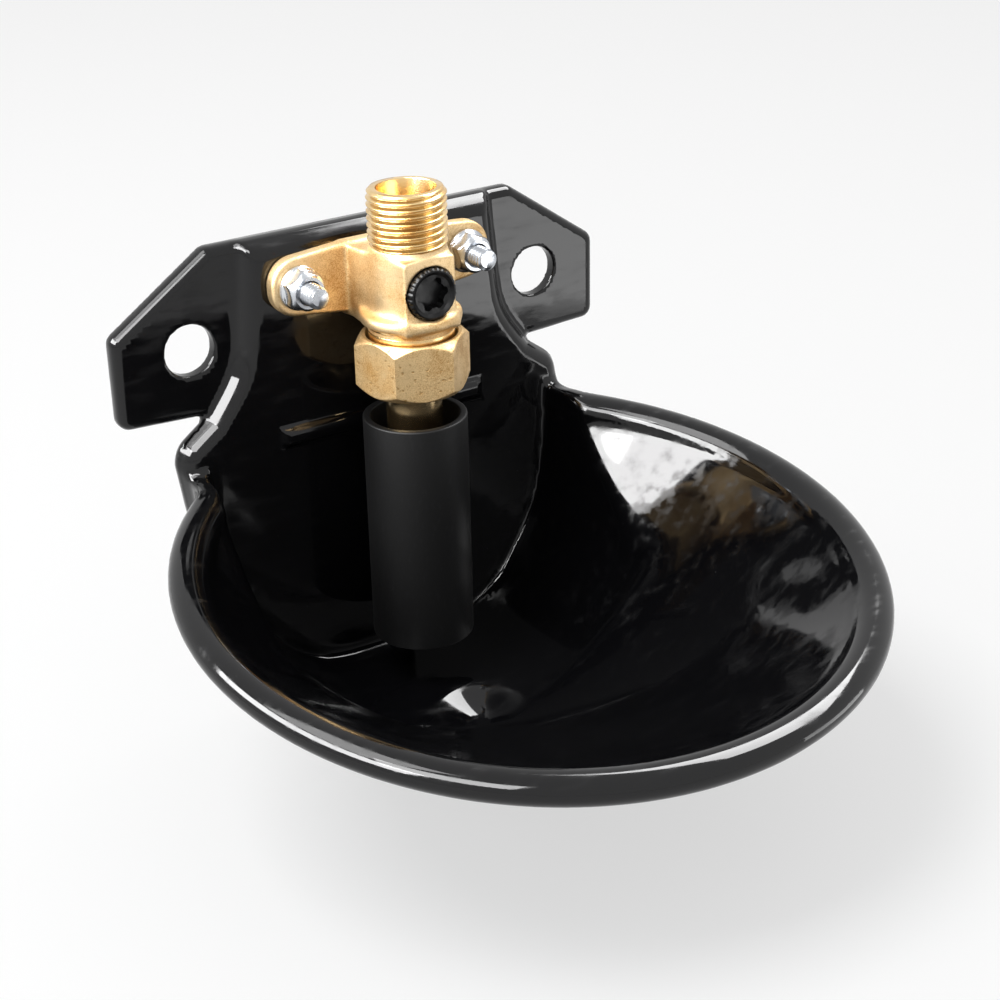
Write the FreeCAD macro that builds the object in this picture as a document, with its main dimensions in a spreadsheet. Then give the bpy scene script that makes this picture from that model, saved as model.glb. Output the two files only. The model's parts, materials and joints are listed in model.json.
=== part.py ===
import FreeCAD, Part
import math
import os
import re

import Sketcher

# Livestock drinking bowl: a cast and enamelled bowl with a back plate, and a
# brass pipe valve clamped to it.  Units are millimetres.  The origin lies
# midway between the two wall holes, on the back face of the wings; +X is to
# the right, +Z is up and the bowl reaches out from the wall towards -Y.

os.makedirs("parts", exist_ok=True)
doc = FreeCAD.newDocument("drinking_bowl")
sheet = doc.addObject("Spreadsheet::Sheet", "Sizes")

# Driving dimensions

SIZES = [
    # back plate with its two wings
    ("wing_wall", 4.0, "thickness of a wing round its wall hole"),
    ("lip_depth", 2.5, "turned-back lip behind the wings, which meets the wall"),
    ("lip_width", 3.2, "width of that lip"),
    ("pad_proud", 4.4, "step from the wings out to the clamp pad"),
    ("pad_wall", 4.4, "thickness of the clamp pad and of the back wall"),
    ("pad_half_top", 35.0, "half width of the pad's face at its top"),
    ("pad_half_low", 39.5, "half width of the pad's face at the neck"),
    ("wall_hole_spacing", 107.0, "distance between the wall holes"),
    ("wall_hole_radius", 7.0, "wall hole"),
    ("plate_top", 26.0, "top edge above the wall holes"),
    ("plate_half_top", 46.5, "half width at the top corners"),
    ("wing_half", 74.5, "half width over the wings"),
    ("wing_shoulder", 6.6, "height of the wings' outer corners"),
    ("wing_bottom", -18.2, "bottom edge of the wings"),
    ("wing_corner", 4.0, "rounding of the wings' corners"),
    ("notch_half", 52.6, "half width at the notch under the wings"),
    ("notch_bottom", -21.0, "height of the notch"),
    ("lobe_half", 59.5, "half width of the lobes where the rim meets the plate"),
    ("lobe_bottom", -27.0, "height at which the lobes are widest"),
    # bowl
    ("rim_radius", 90.5, "outer radius of the rim bead"),
    ("rim_width", 7.0, "radial width of the rim bead"),
    ("rim_height", 8.0, "height of the rim bead"),
    ("rim_tilt", 7.7, "slope of the rim down to the front, in degrees"),
    ("rim_reach", 81.45, "rim centre in front of the wall holes"),
    ("rim_drop", 42.3, "rim centre below the wall holes"),
    ("bowl_wall", 4.0, "wall of the bowl"),
    ("belly_height", -73.5, "height at which the bowl's belly is taken"),
    ("belly_radius", 66.0, "radius of the hollow there"),
    ("belly_reach", 60.0, "middle of the hollow there, ahead of the wings' back face"),
    ("knee_height", -93.0, "height at which the sides turn into the floor"),
    ("knee_radius", 48.0, "radius of the hollow there"),
    ("knee_reach", 47.5, "middle of the hollow there"),
    ("floor_height", -105.0, "lowest point of the hollow"),
    ("floor_radius", 24.0, "radius of the flat floor"),
    ("floor_reach", 35.0, "middle of the floor"),
    ("throat_length", 48.0, "length over which the hollow widens from plate to bowl"),
    ("throat_flare", 16.5, "widening of the throat over its length, each side"),
    ("throat_half", 54.8, "half width of the hollow's mouth at the back wall"),
    ("throat_bend", -73.5, "height at which the back wall's edge bends in"),
    ("throat_bend_half", 44.6, "half width of the hollow there"),
    ("throat_foot", -92.8, "height of the next bend"),
    ("throat_foot_half", 33.7, "half width of the hollow there"),
    ("ledge_half", 31.0, "half length of the ledge on the back wall"),
    ("ledge_top", -26.5, "top of the ledge"),
    ("ledge_height", 4.5, "height of the ledge"),
    ("ledge_proud", 1.8, "how far the ledge stands out"),
    # valve body
    ("axis_reach", 25.7, "valve axis in front of the wings' back face"),
    ("inlet_radius", 10.4775, "G 1/2 male thread over its crests"),
    ("inlet_top", 39.4, "top of the inlet"),
    ("inlet_bore", 7.76, "bore at the inlet"),
    ("thread_runout", 1.4, "plain run-out between the body and the inlet thread"),
    ("body_top", 22.6, "top of the cast body"),
    ("body_bottom", 3.7, "underside of the cast body"),
    ("body_front", 10.6, "front face ahead of the axis"),
    ("front_half", 7.6, "half width of the front face"),
    ("rear_half", 11.7, "half width of the body at the ears"),
    ("collar_radius", 13.6, "rounded collar at the foot of the body"),
    ("collar_height", 3.6, "height of that collar"),
    ("ear_thick", 4.4, "thickness of the ears"),
    ("ear_end", 7.6, "radius round each clamp bolt"),
    ("ear_half_height", 9.8, "half height of the ears at the body"),
    ("clamp_half", 25.5, "clamp bolt to the valve axis"),
    ("clamp_height", 14.0, "height of the clamp bolts"),
    ("clamp_hole", 3.3, "clearance hole for the clamp bolts"),
    ("neck_radius", 11.5, "threaded neck for the union nut"),
    ("neck_bottom", -4.0, "lower end of the neck"),
    ("chamber_radius", 9.0, "bore of the neck"),
    ("passage_radius", 4.5, "bore through the body"),
    ("seat_bore", 7.0, "bore that holds the seat nozzle"),
    ("seat_step", 18.6, "step under the seat nozzle"),
    ("strainer_step", 27.5, "step under the strainer"),
    # shut-off inside the inlet
    ("fit_gap", 0.05, "radial gap of pieces that slide or turn in a bore"),
    ("nozzle_height", 2.7, "height of the seat nozzle"),
    ("nozzle_hole", 3.3, "water hole of the nozzle"),
    ("seal_radius", 5.2, "poppet seal"),
    ("seal_thick", 0.9, "thickness of that seal"),
    ("poppet_radius", 5.5, "poppet disc"),
    ("poppet_thick", 1.2, "thickness of the disc"),
    ("stem_radius", 1.5, "poppet stem"),
    ("stem_gap", 0.3, "free play between the stem and the pipe"),
    ("spring_radius", 4.0, "return spring to the middle of its wire"),
    ("spring_wire", 0.6, "wire diameter"),
    ("spring_turns", 3.5, "turns of the spring"),
    ("strainer_flange", 1.0, "flange of the strainer"),
    ("strainer_rise", 2.6, "dome of the strainer over its flange"),
    ("strainer_wall", 0.8, "wall of the strainer"),
    ("guide_height", 2.2, "height of the stem guide"),
    # flow regulator in the front of the body
    ("plug_radius", 7.0, "regulator plug"),
    ("plug_height", 13.6, "height of the regulator axis"),
    ("plug_proud", 1.7, "how far the plug stands out of the body"),
    ("plug_head", 3.0, "length of the plug's head"),
    ("plug_socket", 7.4, "hexagon socket across flats"),
    ("socket_depth", 3.6, "depth of that socket"),
    ("plug_travel", 1.0, "inward travel in one turn of the plug"),
    ("plug_stem", 4.25, "stem of the plug behind its head"),
    ("plug_nose", 3.1, "end of the stem ahead of the valve axis"),
    ("groove_reach", 6.0, "O-ring groove of the stem ahead of the valve axis"),
    ("nose_radius", 2.9, "nose of the plug, which throttles the passage"),
    ("ring_section", 0.8, "section radius of the O-rings"),
    # union nut and the swivel of the drinking pipe
    ("nut_flats", 27.0, "union nut across flats"),
    ("nut_turn", 12.3, "turn of the nut, in degrees"),
    ("nut_top", 0.3, "top of the union nut"),
    ("nut_bottom", -15.0, "underside of the union nut"),
    ("nut_floor", 2.6, "thickness of the nut's floor"),
    ("nut_hole", 9.4, "hole in the floor"),
    ("thread_gap", 0.05, "radial gap between the neck and the nut"),
    ("pivot_height", -8.0, "centre of the swivel"),
    ("ball_radius", 9.4, "ball collar of the pipe"),
    ("ball_half", 1.8, "half height of the ball collar"),
    ("ring_radius", 11.3, "outer radius of the seat ring"),
    ("ring_above", 0.9, "height of the seat ring above the swivel's centre"),
    ("ring_below", 2.6, "depth of the seat ring below it, which holds the ball in"),
    # drinking pipe and hose
    ("pipe_radius", 7.5, "drinking pipe"),
    ("pipe_bore", 5.7, "bore of the pipe"),
    ("pipe_bottom", -62.0, "lower end of the pipe"),
    ("pipe_web", 1.4, "thickness of the drilled web at the pipe's top"),
    ("hose_radius", 14.05, "hose"),
    ("hose_wall", 2.05, "wall of the hose"),
    ("hose_top", -22.9, "upper end of the hose"),
    ("hose_bottom", -88.0, "lower end of the hose"),
    ("carrier_top", -44.0, "upper end of the hose carrier"),
    ("carrier_height", 14.0, "height of the hose carrier"),
    ("carrier_wall", 1.6, "sleeve of the carrier"),
    ("carrier_fin", 2.0, "thickness of the carrier's fins"),
    # clamp bolts
    ("bolt_radius", 3.0, "M6 bolt"),
    ("bolt_length", 20.0, "length under the head"),
    ("head_flats", 10.0, "bolt head and nut across flats"),
    ("head_height", 4.0, "height of the bolt head"),
    ("clamp_nut_height", 5.0, "height of the nut"),
    ("washer_radius", 6.0, "washer"),
    ("washer_thick", 0.95, "thickness of the washer"),
]
for row, (alias, value, note) in enumerate(SIZES, start=1):
    sheet.set(f"A{row}", alias)
    sheet.set(f"B{row}", str(value))
    sheet.set(f"C{row}", note)
    sheet.setAlias(f"B{row}", alias)
doc.recompute()
ALIASES = {alias for alias, value, note in SIZES}


def bind(text):
    """Expression text in which every size name refers to its cell."""
    return re.sub(r"[a-z_]+", lambda m: "Sizes." + m.group() if m.group() in ALIASES else m.group(), str(text))


def val(text):
    """Value of an expression of size names."""
    result = sheet.evalExpression(bind(text))
    return float(getattr(result, "Value", result))


# Construction helpers

PLANE = {"XY": "XY_Plane", "XZ": "XZ_Plane", "YZ": "YZ_Plane"}


def new_body(label, y="0", z="0"):
    """An empty body whose own origin stands at (0, y, z)."""
    body = doc.addObject("PartDesign::Body", label)
    body.Label = label
    body.setExpression("Placement.Base.y", bind(y))
    body.setExpression("Placement.Base.z", bind(z))
    return body


def attach(body, sketch, plane, shift="0"):
    """Attach a sketch to an origin plane of its body, moved along the normal."""
    face = next(f for f in body.Origin.OriginFeatures if f.Role == PLANE[plane])
    sketch.AttachmentSupport = [(face, "")]
    sketch.MapMode = "FlatFace"
    sketch.setExpression("AttachmentOffset.Base.z", bind(shift))


def fixed_point(sketch, index, place, point):
    """Hold one point of the sketch at a pair of expressions."""
    for kind, text in zip(("DistanceX", "DistanceY"), point):
        row = sketch.addConstraint(Sketcher.Constraint(kind, -1, 1, index, place, val(text)))
        sketch.setExpression(f"Constraints[{row}]", bind(text))


def outline(body, name, plane, loops, shift="0"):
    """Sketch of closed loops; a corner is (x, y) or (x, y, rounding radius)."""
    sketch = body.newObject("Sketcher::SketchObject", name)
    attach(body, sketch, plane, shift)
    for corners in loops:
        add_loop(sketch, corners)
    return sketch


def add_loop(sketch, corners):
    """One closed loop of lines, with an arc at each corner that has a radius."""
    spots = [FreeCAD.Vector(val(c[0]), val(c[1]), 0) for c in corners]
    count = len(spots)
    starts, ends, arcs = list(spots), list(spots), {}
    for i, corner in enumerate(corners):
        if len(corner) < 3:
            continue
        back = (spots[i - 1] - spots[i]).normalize()
        ahead = (spots[(i + 1) % count] - spots[i]).normalize()
        half = back.getAngle(ahead) / 2
        radius = val(corner[2])
        cut = radius / math.tan(half)
        ends[i] = spots[i] + back * cut
        starts[i] = spots[i] + ahead * cut
        centre = spots[i] + (back + ahead).normalize() * (radius / math.sin(half))
        left_turn = back.cross(ahead).z < 0
        first, last = (ends[i], starts[i]) if left_turn else (starts[i], ends[i])
        circle = Part.Circle(centre, FreeCAD.Vector(0, 0, 1), radius)
        angles = [math.atan2(p.y - centre.y, p.x - centre.x) for p in (first, last)]
        arcs[i] = (Part.ArcOfCircle(circle, angles[0], angles[1]), left_turn)
    base = sketch.GeometryCount
    for i in range(count):
        sketch.addGeometry(Part.LineSegment(starts[i], ends[(i + 1) % count]), False)
    for i, corner in enumerate(corners):
        incoming, outgoing = base + (i - 1) % count, base + i
        if i not in arcs:
            sketch.addConstraint(Sketcher.Constraint("Coincident", incoming, 2, outgoing, 1))
            fixed_point(sketch, outgoing, 1, corner)
            continue
        arc, left_turn = arcs[i]
        bend = sketch.addGeometry(arc, False)
        mark = sketch.addGeometry(Part.Point(spots[i]), True)
        near, far = (1, 2) if left_turn else (2, 1)
        sketch.addConstraint(Sketcher.Constraint("Tangent", incoming, 2, bend, near))
        sketch.addConstraint(Sketcher.Constraint("Tangent", outgoing, 1, bend, far))
        sketch.addConstraint(Sketcher.Constraint("PointOnObject", mark, 1, incoming))
        sketch.addConstraint(Sketcher.Constraint("PointOnObject", mark, 1, outgoing))
        fixed_point(sketch, mark, 1, corner)
        row = sketch.addConstraint(Sketcher.Constraint("Radius", bend, val(corner[2])))
        sketch.setExpression(f"Constraints[{row}]", bind(corner[2]))


def circles(body, name, plane, rounds, shift="0"):
    """Sketch of circles, each (x, y, radius) as expressions."""
    sketch = body.newObject("Sketcher::SketchObject", name)
    attach(body, sketch, plane, shift)
    for x, y, radius in rounds:
        spot = FreeCAD.Vector(val(x), val(y), 0)
        index = sketch.addGeometry(Part.Circle(spot, FreeCAD.Vector(0, 0, 1), val(radius)), False)
        fixed_point(sketch, index, 3, (x, y))
        row = sketch.addConstraint(Sketcher.Constraint("Radius", index, val(radius)))
        sketch.setExpression(f"Constraints[{row}]", bind(radius))
    return sketch


def feature(body, kind, name, sketch, **settings):
    """A PartDesign feature on a sketch; Length may be an expression."""
    made = body.newObject("PartDesign::" + kind, name)
    made.Profile = sketch
    for key, value in settings.items():
        if key == "Length":
            made.setExpression("Length", bind(value))
        else:
            setattr(made, key, value)
    doc.recompute()
    body.Tip = made
    return made


def turn(body, kind, name, corners):
    """A revolved feature: corners are (radius, height) about the body's Z axis."""
    sketch = outline(body, name + "_profile", "XZ", [corners])
    return feature(body, kind, name, sketch, ReferenceAxis=(sketch, ["V_Axis"]), Angle=360.0)


def turned_piece(label, corners, y="-axis_reach", z="0"):
    """A piece turned on a lathe, standing on the valve axis."""
    body = new_body(label, y, z)
    turn(body, "Revolution", label + "_turned", corners)
    return body


def bevel_edges(body, name, size, keep):
    """Chamfer of the tip's edges that a test picks out."""
    tip = body.Tip
    names = [f"Edge{i}" for i, edge in enumerate(tip.Shape.Edges, start=1) if keep(edge)]
    made = body.newObject("PartDesign::Chamfer", name)
    made.Base = (tip, names)
    made.setExpression("Size", bind(size))
    doc.recompute()
    body.Tip = made
    return made


def mirrored(corners):
    """Loop that is symmetric about x = 0, from the corners of its right half."""
    left = [(f"-({c[0]})",) + tuple(c[1:]) for c in reversed(corners)]
    return corners + left


def near(value, text, slack=0.01):
    """Whether a coordinate is at the value of an expression."""
    return abs(value - val(text)) < slack


pieces = []

# Bowl: one casting of wings, clamp pad, throat, bowl and rim bead, enamelled.

bowl = new_body("bowl")


def tilted(name, loops):
    """Sketch in the plane of symmetry, with its origin on the rim's axis."""
    sketch = outline(bowl, name, "YZ", loops)
    sketch.setExpression("AttachmentOffset.Base.x", bind("-rim_reach"))
    sketch.setExpression("AttachmentOffset.Base.y", bind("-rim_drop"))
    sketch.setExpression("AttachmentOffset.Rotation.Angle", bind("rim_tilt"))
    return sketch


def turned_bowl(kind, name, corners):
    """A revolved feature about the tilted axis of the rim."""
    sketch = tilted(name + "_profile", [corners])
    return feature(bowl, kind, name, sketch, ReferenceAxis=(sketch, ["V_Axis"]), Angle=360.0)


# The bowl's sides slope from the round rim to a small floor that lies close to
# the back wall, so outer and inner faces are lofts through circles.
inner_radius = "(rim_radius - rim_width)"


def rim_circle(name, radius, level):
    """Circle in the plane of the rim, raised or lowered along the rim's axis."""
    sketch = circles(bowl, name, "XY", [("0", f"({level}) * sin(rim_tilt * -1 deg)", radius)])
    sketch.AttachmentOffset = FreeCAD.Placement(FreeCAD.Vector(), FreeCAD.Rotation(FreeCAD.Vector(1, 0, 0), 1))
    sketch.setExpression("AttachmentOffset.Base.y", bind("-rim_reach"))
    sketch.setExpression("AttachmentOffset.Base.z", bind(f"({level}) - rim_drop"))
    sketch.setExpression("AttachmentOffset.Rotation.Angle", bind("rim_tilt"))
    return sketch


def level_circle(name, radius, reach, height):
    """Circle in a level plane."""
    return circles(bowl, name, "XY", [("0", f"-({reach})", radius)], height)


def loft(kind, name, sections):
    """Straight-sided loft through sketches, the first one as its profile."""
    made = bowl.newObject("PartDesign::" + kind, name)
    made.Profile = sections[0]
    made.Sections = sections[1:]
    made.Ruled = True
    doc.recompute()
    bowl.Tip = made


def basin(kind, name, wall, level):
    """The round, sloping basin, widened and deepened by a wall."""
    loft(kind, name, [
        rim_circle(name + "_rim", f"{inner_radius} + {wall}", level),
        level_circle(name + "_belly", f"belly_radius + {wall} * 0.85", "belly_reach", f"belly_height - {wall} / 2"),
        level_circle(name + "_knee", f"knee_radius + {wall} * 0.7", "knee_reach", f"knee_height - {wall} * 0.8"),
        level_circle(name + "_floor", f"floor_radius + {wall} * 0.4", "floor_reach", f"floor_height - {wall}")])


basin("AdditiveLoft", "bowl_form", "bowl_wall", "-rim_height / 2")
# The bead is rounded by short bevels; each row is (in from the outside, height).
BEAD = [(2.4, -1.0), (0.7, -0.86), (0.0, -0.6), (0.0, -0.38), (0.7, -0.16), (2.0, -0.04), (3.6, 0.0), (5.4, -0.05)]
turned_bowl("Revolution", "rim_bead", (
    [(f"{inner_radius} - 4", "-rim_height")]
    + [(f"rim_radius - rim_width * {inward / 7}", f"rim_height * {level}") for inward, level in BEAD]
    + [(f"{inner_radius} - 4", "-rim_height * 0.4")]))


def throat_section(name, spread, wall, over, reach):
    """Section of the throat across the object, widened by a wall."""
    top = f"(rim_reach - {reach}) * tan(rim_tilt * 1 deg) - rim_drop + {over}"
    return outline(bowl, name, "XZ", [mirrored([
        (f"throat_half + {spread} + {wall}", top),
        (f"throat_bend_half + {spread} + {wall}", "throat_bend"),
        (f"throat_foot_half + {spread} / 2 + {wall}", f"throat_foot - {wall} / 3"),
        ("floor_radius", f"floor_height + 4 - {wall}")])], reach)


def throat(kind, name, wall, over):
    """The part of the hollow that widens from the back wall into the basin."""
    loft(kind, name, [
        throat_section(name + "_rear", "0", wall, over, "wing_wall"),
        throat_section(name + "_front", "throat_flare", wall, over, "(wing_wall + throat_length)")])


throat("AdditiveLoft", "throat_form", "bowl_wall", "-0.5")
basin("SubtractiveLoft", "bowl_hollow", "0", "0.5")
throat("SubtractiveLoft", "throat_hollow", "0", "1")

# Everything behind the back wall's face is cleared, then the wall is added.
REAR_FACE = "wing_wall + pad_wall"
clear = outline(bowl, "rear_clearance", "XZ", [mirrored([
    ("rim_radius + 10", "30"), ("rim_radius + 10", "floor_height - 40")])], REAR_FACE)
feature(bowl, "Pocket", "rear_cut", clear, Type="ThroughAll")

wall_outline = outline(bowl, "back_wall_outline", "XZ", [mirrored([
    ("pad_half_low", "plate_top - lip_width"),
    ("pad_half_low", "notch_bottom - 1"),
    ("lobe_half", "notch_bottom - 1", "2.2"),
    ("lobe_half - 0.5", "lobe_bottom", "6"),
    ("throat_bend_half + bowl_wall", "throat_bend", "20"),
    ("throat_foot_half + bowl_wall", "throat_foot", "12"),
    ("floor_radius - 2", "floor_height + 4 - bowl_wall", "10"),
])], "wing_wall")
feature(bowl, "Pad", "back_wall", wall_outline, Length="pad_wall")

# The clamp pad's sides slope out from the wings and run out at the neck.
pad_root = outline(bowl, "pad_root", "XZ", [mirrored([
    ("pad_half_low + 0.6", "plate_top"), ("pad_half_low + 0.6", "notch_bottom")])], "wing_wall - 1")
pad_face = outline(bowl, "pad_face", "XZ", [mirrored([
    ("pad_half_top", "plate_top"), ("pad_half_low", "notch_bottom")])], REAR_FACE)
pad = bowl.newObject("PartDesign::AdditiveLoft", "clamp_pad")
pad.Profile = pad_root
pad.Sections = [pad_face]
pad.Ruled = True
doc.recompute()
bowl.Tip = pad

WINGS = [
    ("plate_half_top", "plate_top", "wing_corner"),
    ("wing_half", "wing_shoulder", "wing_corner"),
    ("wing_half", "wing_bottom", "wing_corner"),
    ("notch_half", "wing_bottom - 1", "3"),
    ("notch_half - 1", "notch_bottom - 1"),
]
wings = outline(bowl, "wing_outline", "XZ", [mirrored(WINGS)])
feature(bowl, "Pad", "wing_plate", wings, Length="wing_wall")
lobes = outline(bowl, "lobe_outline", "XZ", [mirrored([
    ("lobe_half", "notch_bottom", "2.2"),
    ("lobe_half - 0.5", "lobe_bottom", "6"),
    ("throat_bend_half + bowl_wall + 2.5", "throat_bend + 20", "12"),
    ("throat_bend_half - 4", "throat_bend + 10")])])
feature(bowl, "Pad", "lobe_plate", lobes, Length="wing_wall")

# Behind, the pad is hollow for the bolt heads, and a lip runs round the wings.
recess = outline(bowl, "pad_recess_outline", "XZ", [mirrored([
    ("pad_half_top - 2", "plate_top - lip_width", "3"),
    ("pad_half_low - 3", "throat_bend + 30", "10")])])
feature(bowl, "Pocket", "pad_recess", recess, Length="wing_wall", Reversed=True)
LIP_OUTER = [("notch_half", "wing_bottom")] + WINGS[2::-1]
LIP_INNER = [
    ("notch_half", "wing_bottom + lip_width"),
    ("wing_half - lip_width", "wing_bottom + lip_width", "wing_corner / 2"),
    ("wing_half - lip_width", "wing_shoulder - lip_width * 0.6", "wing_corner / 2"),
    ("plate_half_top - lip_width * 0.6", "plate_top - lip_width", "wing_corner / 2"),
]
lip = outline(bowl, "lip_outline", "XZ", [mirrored(LIP_OUTER) + mirrored(LIP_INNER)[::-1]])
feature(bowl, "Pad", "wing_lip", lip, Length="lip_depth", Reversed=True)

ledge = outline(bowl, "ledge_outline", "XZ", [mirrored([
    ("ledge_half", "ledge_top", "1.5"), ("ledge_half", "ledge_top - ledge_height", "1.5")])], REAR_FACE)
feature(bowl, "Pad", "ledge", ledge, Length="ledge_proud")

wall_holes = circles(bowl, "wall_hole_circles", "XZ", [
    ("wall_hole_spacing / 2", "0", "wall_hole_radius"),
    ("-wall_hole_spacing / 2", "0", "wall_hole_radius")], REAR_FACE)
feature(bowl, "Pocket", "wall_holes", wall_holes, Type="ThroughAll")
clamp_holes = circles(bowl, "clamp_hole_circles", "XZ", [
    ("clamp_half", "clamp_height", "clamp_hole"),
    ("-clamp_half", "clamp_height", "clamp_hole")], REAR_FACE)
feature(bowl, "Pocket", "clamp_holes", clamp_holes, Type="ThroughAll")
pieces.append(bowl)

# Valve body: one brass casting with two ears, machined thread, bores and neck.
valve_body = new_body("valve_body", "-axis_reach")
EAR_BACK = "wing_wall + pad_wall - axis_reach"
ears = outline(valve_body, "ear_outline", "XZ", [mirrored([
    ("rear_half - 1", "clamp_height + ear_half_height - 0.6"),
    ("clamp_half + ear_end", "clamp_height + ear_end + 0.4", "ear_end - 0.2"),
    ("clamp_half + ear_end", "clamp_height - ear_end - 0.4", "ear_end - 0.2"),
    ("rear_half - 1", "clamp_height - ear_half_height"),
])], EAR_BACK)
feature(valve_body, "Pad", "ears", ears, Length="ear_thick")
bevel_edges(valve_body, "ear_bevel", "0.9", lambda edge: (
    edge.BoundBox.YLength < 0.01
    and near(edge.BoundBox.YMin, "axis_reach - wing_wall - pad_wall - ear_thick")))
block = outline(valve_body, "block_outline", "XY", [[
    ("-front_half", "-body_front", "1.5"), ("front_half", "-body_front", "1.5"),
    ("rear_half", "axis_reach - wing_wall - pad_wall"),
    ("-rear_half", "axis_reach - wing_wall - pad_wall")]], "body_bottom")
feature(valve_body, "Pad", "block", block, Length="body_top - body_bottom")
turn(valve_body, "Revolution", "turned_form", [
    ("0", "neck_bottom"), ("neck_radius - 0.4", "neck_bottom"), ("neck_radius", "neck_bottom + 0.4"),
    ("neck_radius", "body_bottom"), ("collar_radius - 0.6", "body_bottom"),
    ("collar_radius", "body_bottom + collar_height * 0.25"),
    ("collar_radius - 0.3", "body_bottom + collar_height * 0.6"),
    ("collar_radius - 1.8", "body_bottom + collar_height"),
    ("inlet_radius - 1.3", "body_bottom + collar_height + 1"),
    ("inlet_radius - 1.3", "body_top + thread_runout"), ("inlet_radius", "body_top + thread_runout"),
    ("inlet_radius", "inlet_top - 1"),
    ("inlet_radius - 0.95", "inlet_top"), ("0", "inlet_top")])
turn(valve_body, "Groove", "bores", [
    ("0", "inlet_top + 1"), ("inlet_bore", "inlet_top + 1"), ("inlet_bore", "strainer_step"),
    ("seat_bore", "strainer_step"), ("seat_bore", "seat_step"), ("passage_radius", "seat_step"),
    ("passage_radius", "body_bottom - 1"), ("chamber_radius", "body_bottom - 1"),
    ("chamber_radius", "neck_bottom - 1"), ("0", "neck_bottom - 1")])
HEAD_DEPTH = "plug_head + plug_travel - plug_proud + 0.3"
head_bore = circles(valve_body, "head_bore_circle", "XZ",
                    [("0", "plug_height", "plug_radius + fit_gap")], "body_front + 3")
feature(valve_body, "Pocket", "head_bore", head_bore, Length=HEAD_DEPTH + " + 3")
stem_bore = circles(valve_body, "stem_bore_circle", "XZ",
                    [("0", "plug_height", "plug_stem + fit_gap")], "body_front")
feature(valve_body, "Pocket", "stem_bore", stem_bore, Length="body_front - 1")
ear_holes = circles(valve_body, "ear_hole_circles", "XZ", [
    ("clamp_half", "clamp_height", "clamp_hole"),
    ("-clamp_half", "clamp_height", "clamp_hole")], EAR_BACK + " + ear_thick")
feature(valve_body, "Pocket", "ear_holes", ear_holes, Type="ThroughAll")
pieces.append(valve_body)


# Clamp bolts, washers and nuts: zinc-plated M6, one at each ear.

def hexagon(flats, turn_deg="0", x="0", z="0"):
    """Six corners of a hexagon, the first pointing along +Y of its sketch."""
    across = f"({flats} / sqrt(3))"
    return [(f"{x} + {across} * sin(({60 * k} + {turn_deg}) * 1 deg)",
             f"{z} + {across} * cos(({60 * k} + {turn_deg}) * 1 deg)") for k in range(6)]


def along_bolts(label, build):
    """One node that holds the same piece on both clamp bolts."""
    halves = []
    for side, sign in (("left", "-"), ("right", "")):
        body = new_body(f"{label}_{side}")
        body.setExpression("Placement.Base.x", bind(sign + "clamp_half"))
        body.setExpression("Placement.Base.z", bind("clamp_height"))
        build(body)
        halves.append(body)
    group = doc.addObject("Part::Compound", label)
    group.Label = label
    group.Links = halves
    pieces.append(group)


PAD_BACK = "wing_wall"
EAR_FACE = "wing_wall + pad_wall + ear_thick"


def clamp_bolt(body):
    """A hexagon-headed bolt from behind the pad."""
    head = outline(body, "head_outline", "XZ", [hexagon("head_flats")], PAD_BACK)
    feature(body, "Pad", "head", head, Length="head_height", Reversed=True)
    shank = circles(body, "shank_circle", "XZ", [("0", "0", "bolt_radius")], PAD_BACK)
    feature(body, "Pad", "shank", shank, Length="bolt_length - 0.6")
    point = circles(body, "point_circle", "XZ", [("0", "0", "bolt_radius * 0.84")], PAD_BACK)
    feature(body, "Pad", "point", point, Length="bolt_length")


def clamp_washer(body):
    """A flat washer between ear and nut."""
    ring = circles(body, "ring_circles", "XZ", [("0", "0", "washer_radius"),
                                                ("0", "0", "bolt_radius + 0.2")], EAR_FACE)
    feature(body, "Pad", "ring", ring, Length="washer_thick")


def clamp_nut(body):
    """A hexagon nut with a bore that just clears the bolt."""
    blank = outline(body, "nut_outline", "XZ", [hexagon("head_flats", "8")], EAR_FACE + " + washer_thick")
    feature(body, "Pad", "nut_blank", blank, Length="clamp_nut_height")
    bore = circles(body, "bore_circle", "XZ", [("0", "0", "bolt_radius + 0.02")],
                   EAR_FACE + " + washer_thick + clamp_nut_height")
    feature(body, "Pocket", "bore", bore, Type="ThroughAll")


along_bolts("clamp_bolts", clamp_bolt)
along_bolts("clamp_washers", clamp_washer)
along_bolts("clamp_nuts", clamp_nut)

# Shut-off in the inlet, from the top down: strainer, spring, poppet, nozzle.
strainer = turned_piece("inlet_strainer", [
    ("2.2", "0"), ("inlet_bore - fit_gap", "0"), ("inlet_bore - fit_gap", "strainer_flange"),
    ("seat_bore - 0.8", "strainer_flange"), ("seat_bore - 1.4", "strainer_flange + strainer_rise - 0.8"),
    ("seat_bore - 2.4", "strainer_flange + strainer_rise"), ("0", "strainer_flange + strainer_rise"),
    ("0", "strainer_flange + strainer_rise - strainer_wall"),
    ("seat_bore - 2.8", "strainer_flange + strainer_rise - strainer_wall"),
    ("seat_bore - 2.2", "strainer_flange"), ("2.2", "strainer_flange")], z="strainer_step")
mesh = circles(strainer, "mesh_circles", "XY", [
    (f"3.1 * cos({angle} deg)", f"3.1 * sin({angle} deg)", "0.7") for angle in range(0, 360, 45)
], "strainer_flange + strainer_rise + 1")
feature(strainer, "Pocket", "mesh", mesh, Length="1 + strainer_wall + 0.1")
pieces.append(strainer)

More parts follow.
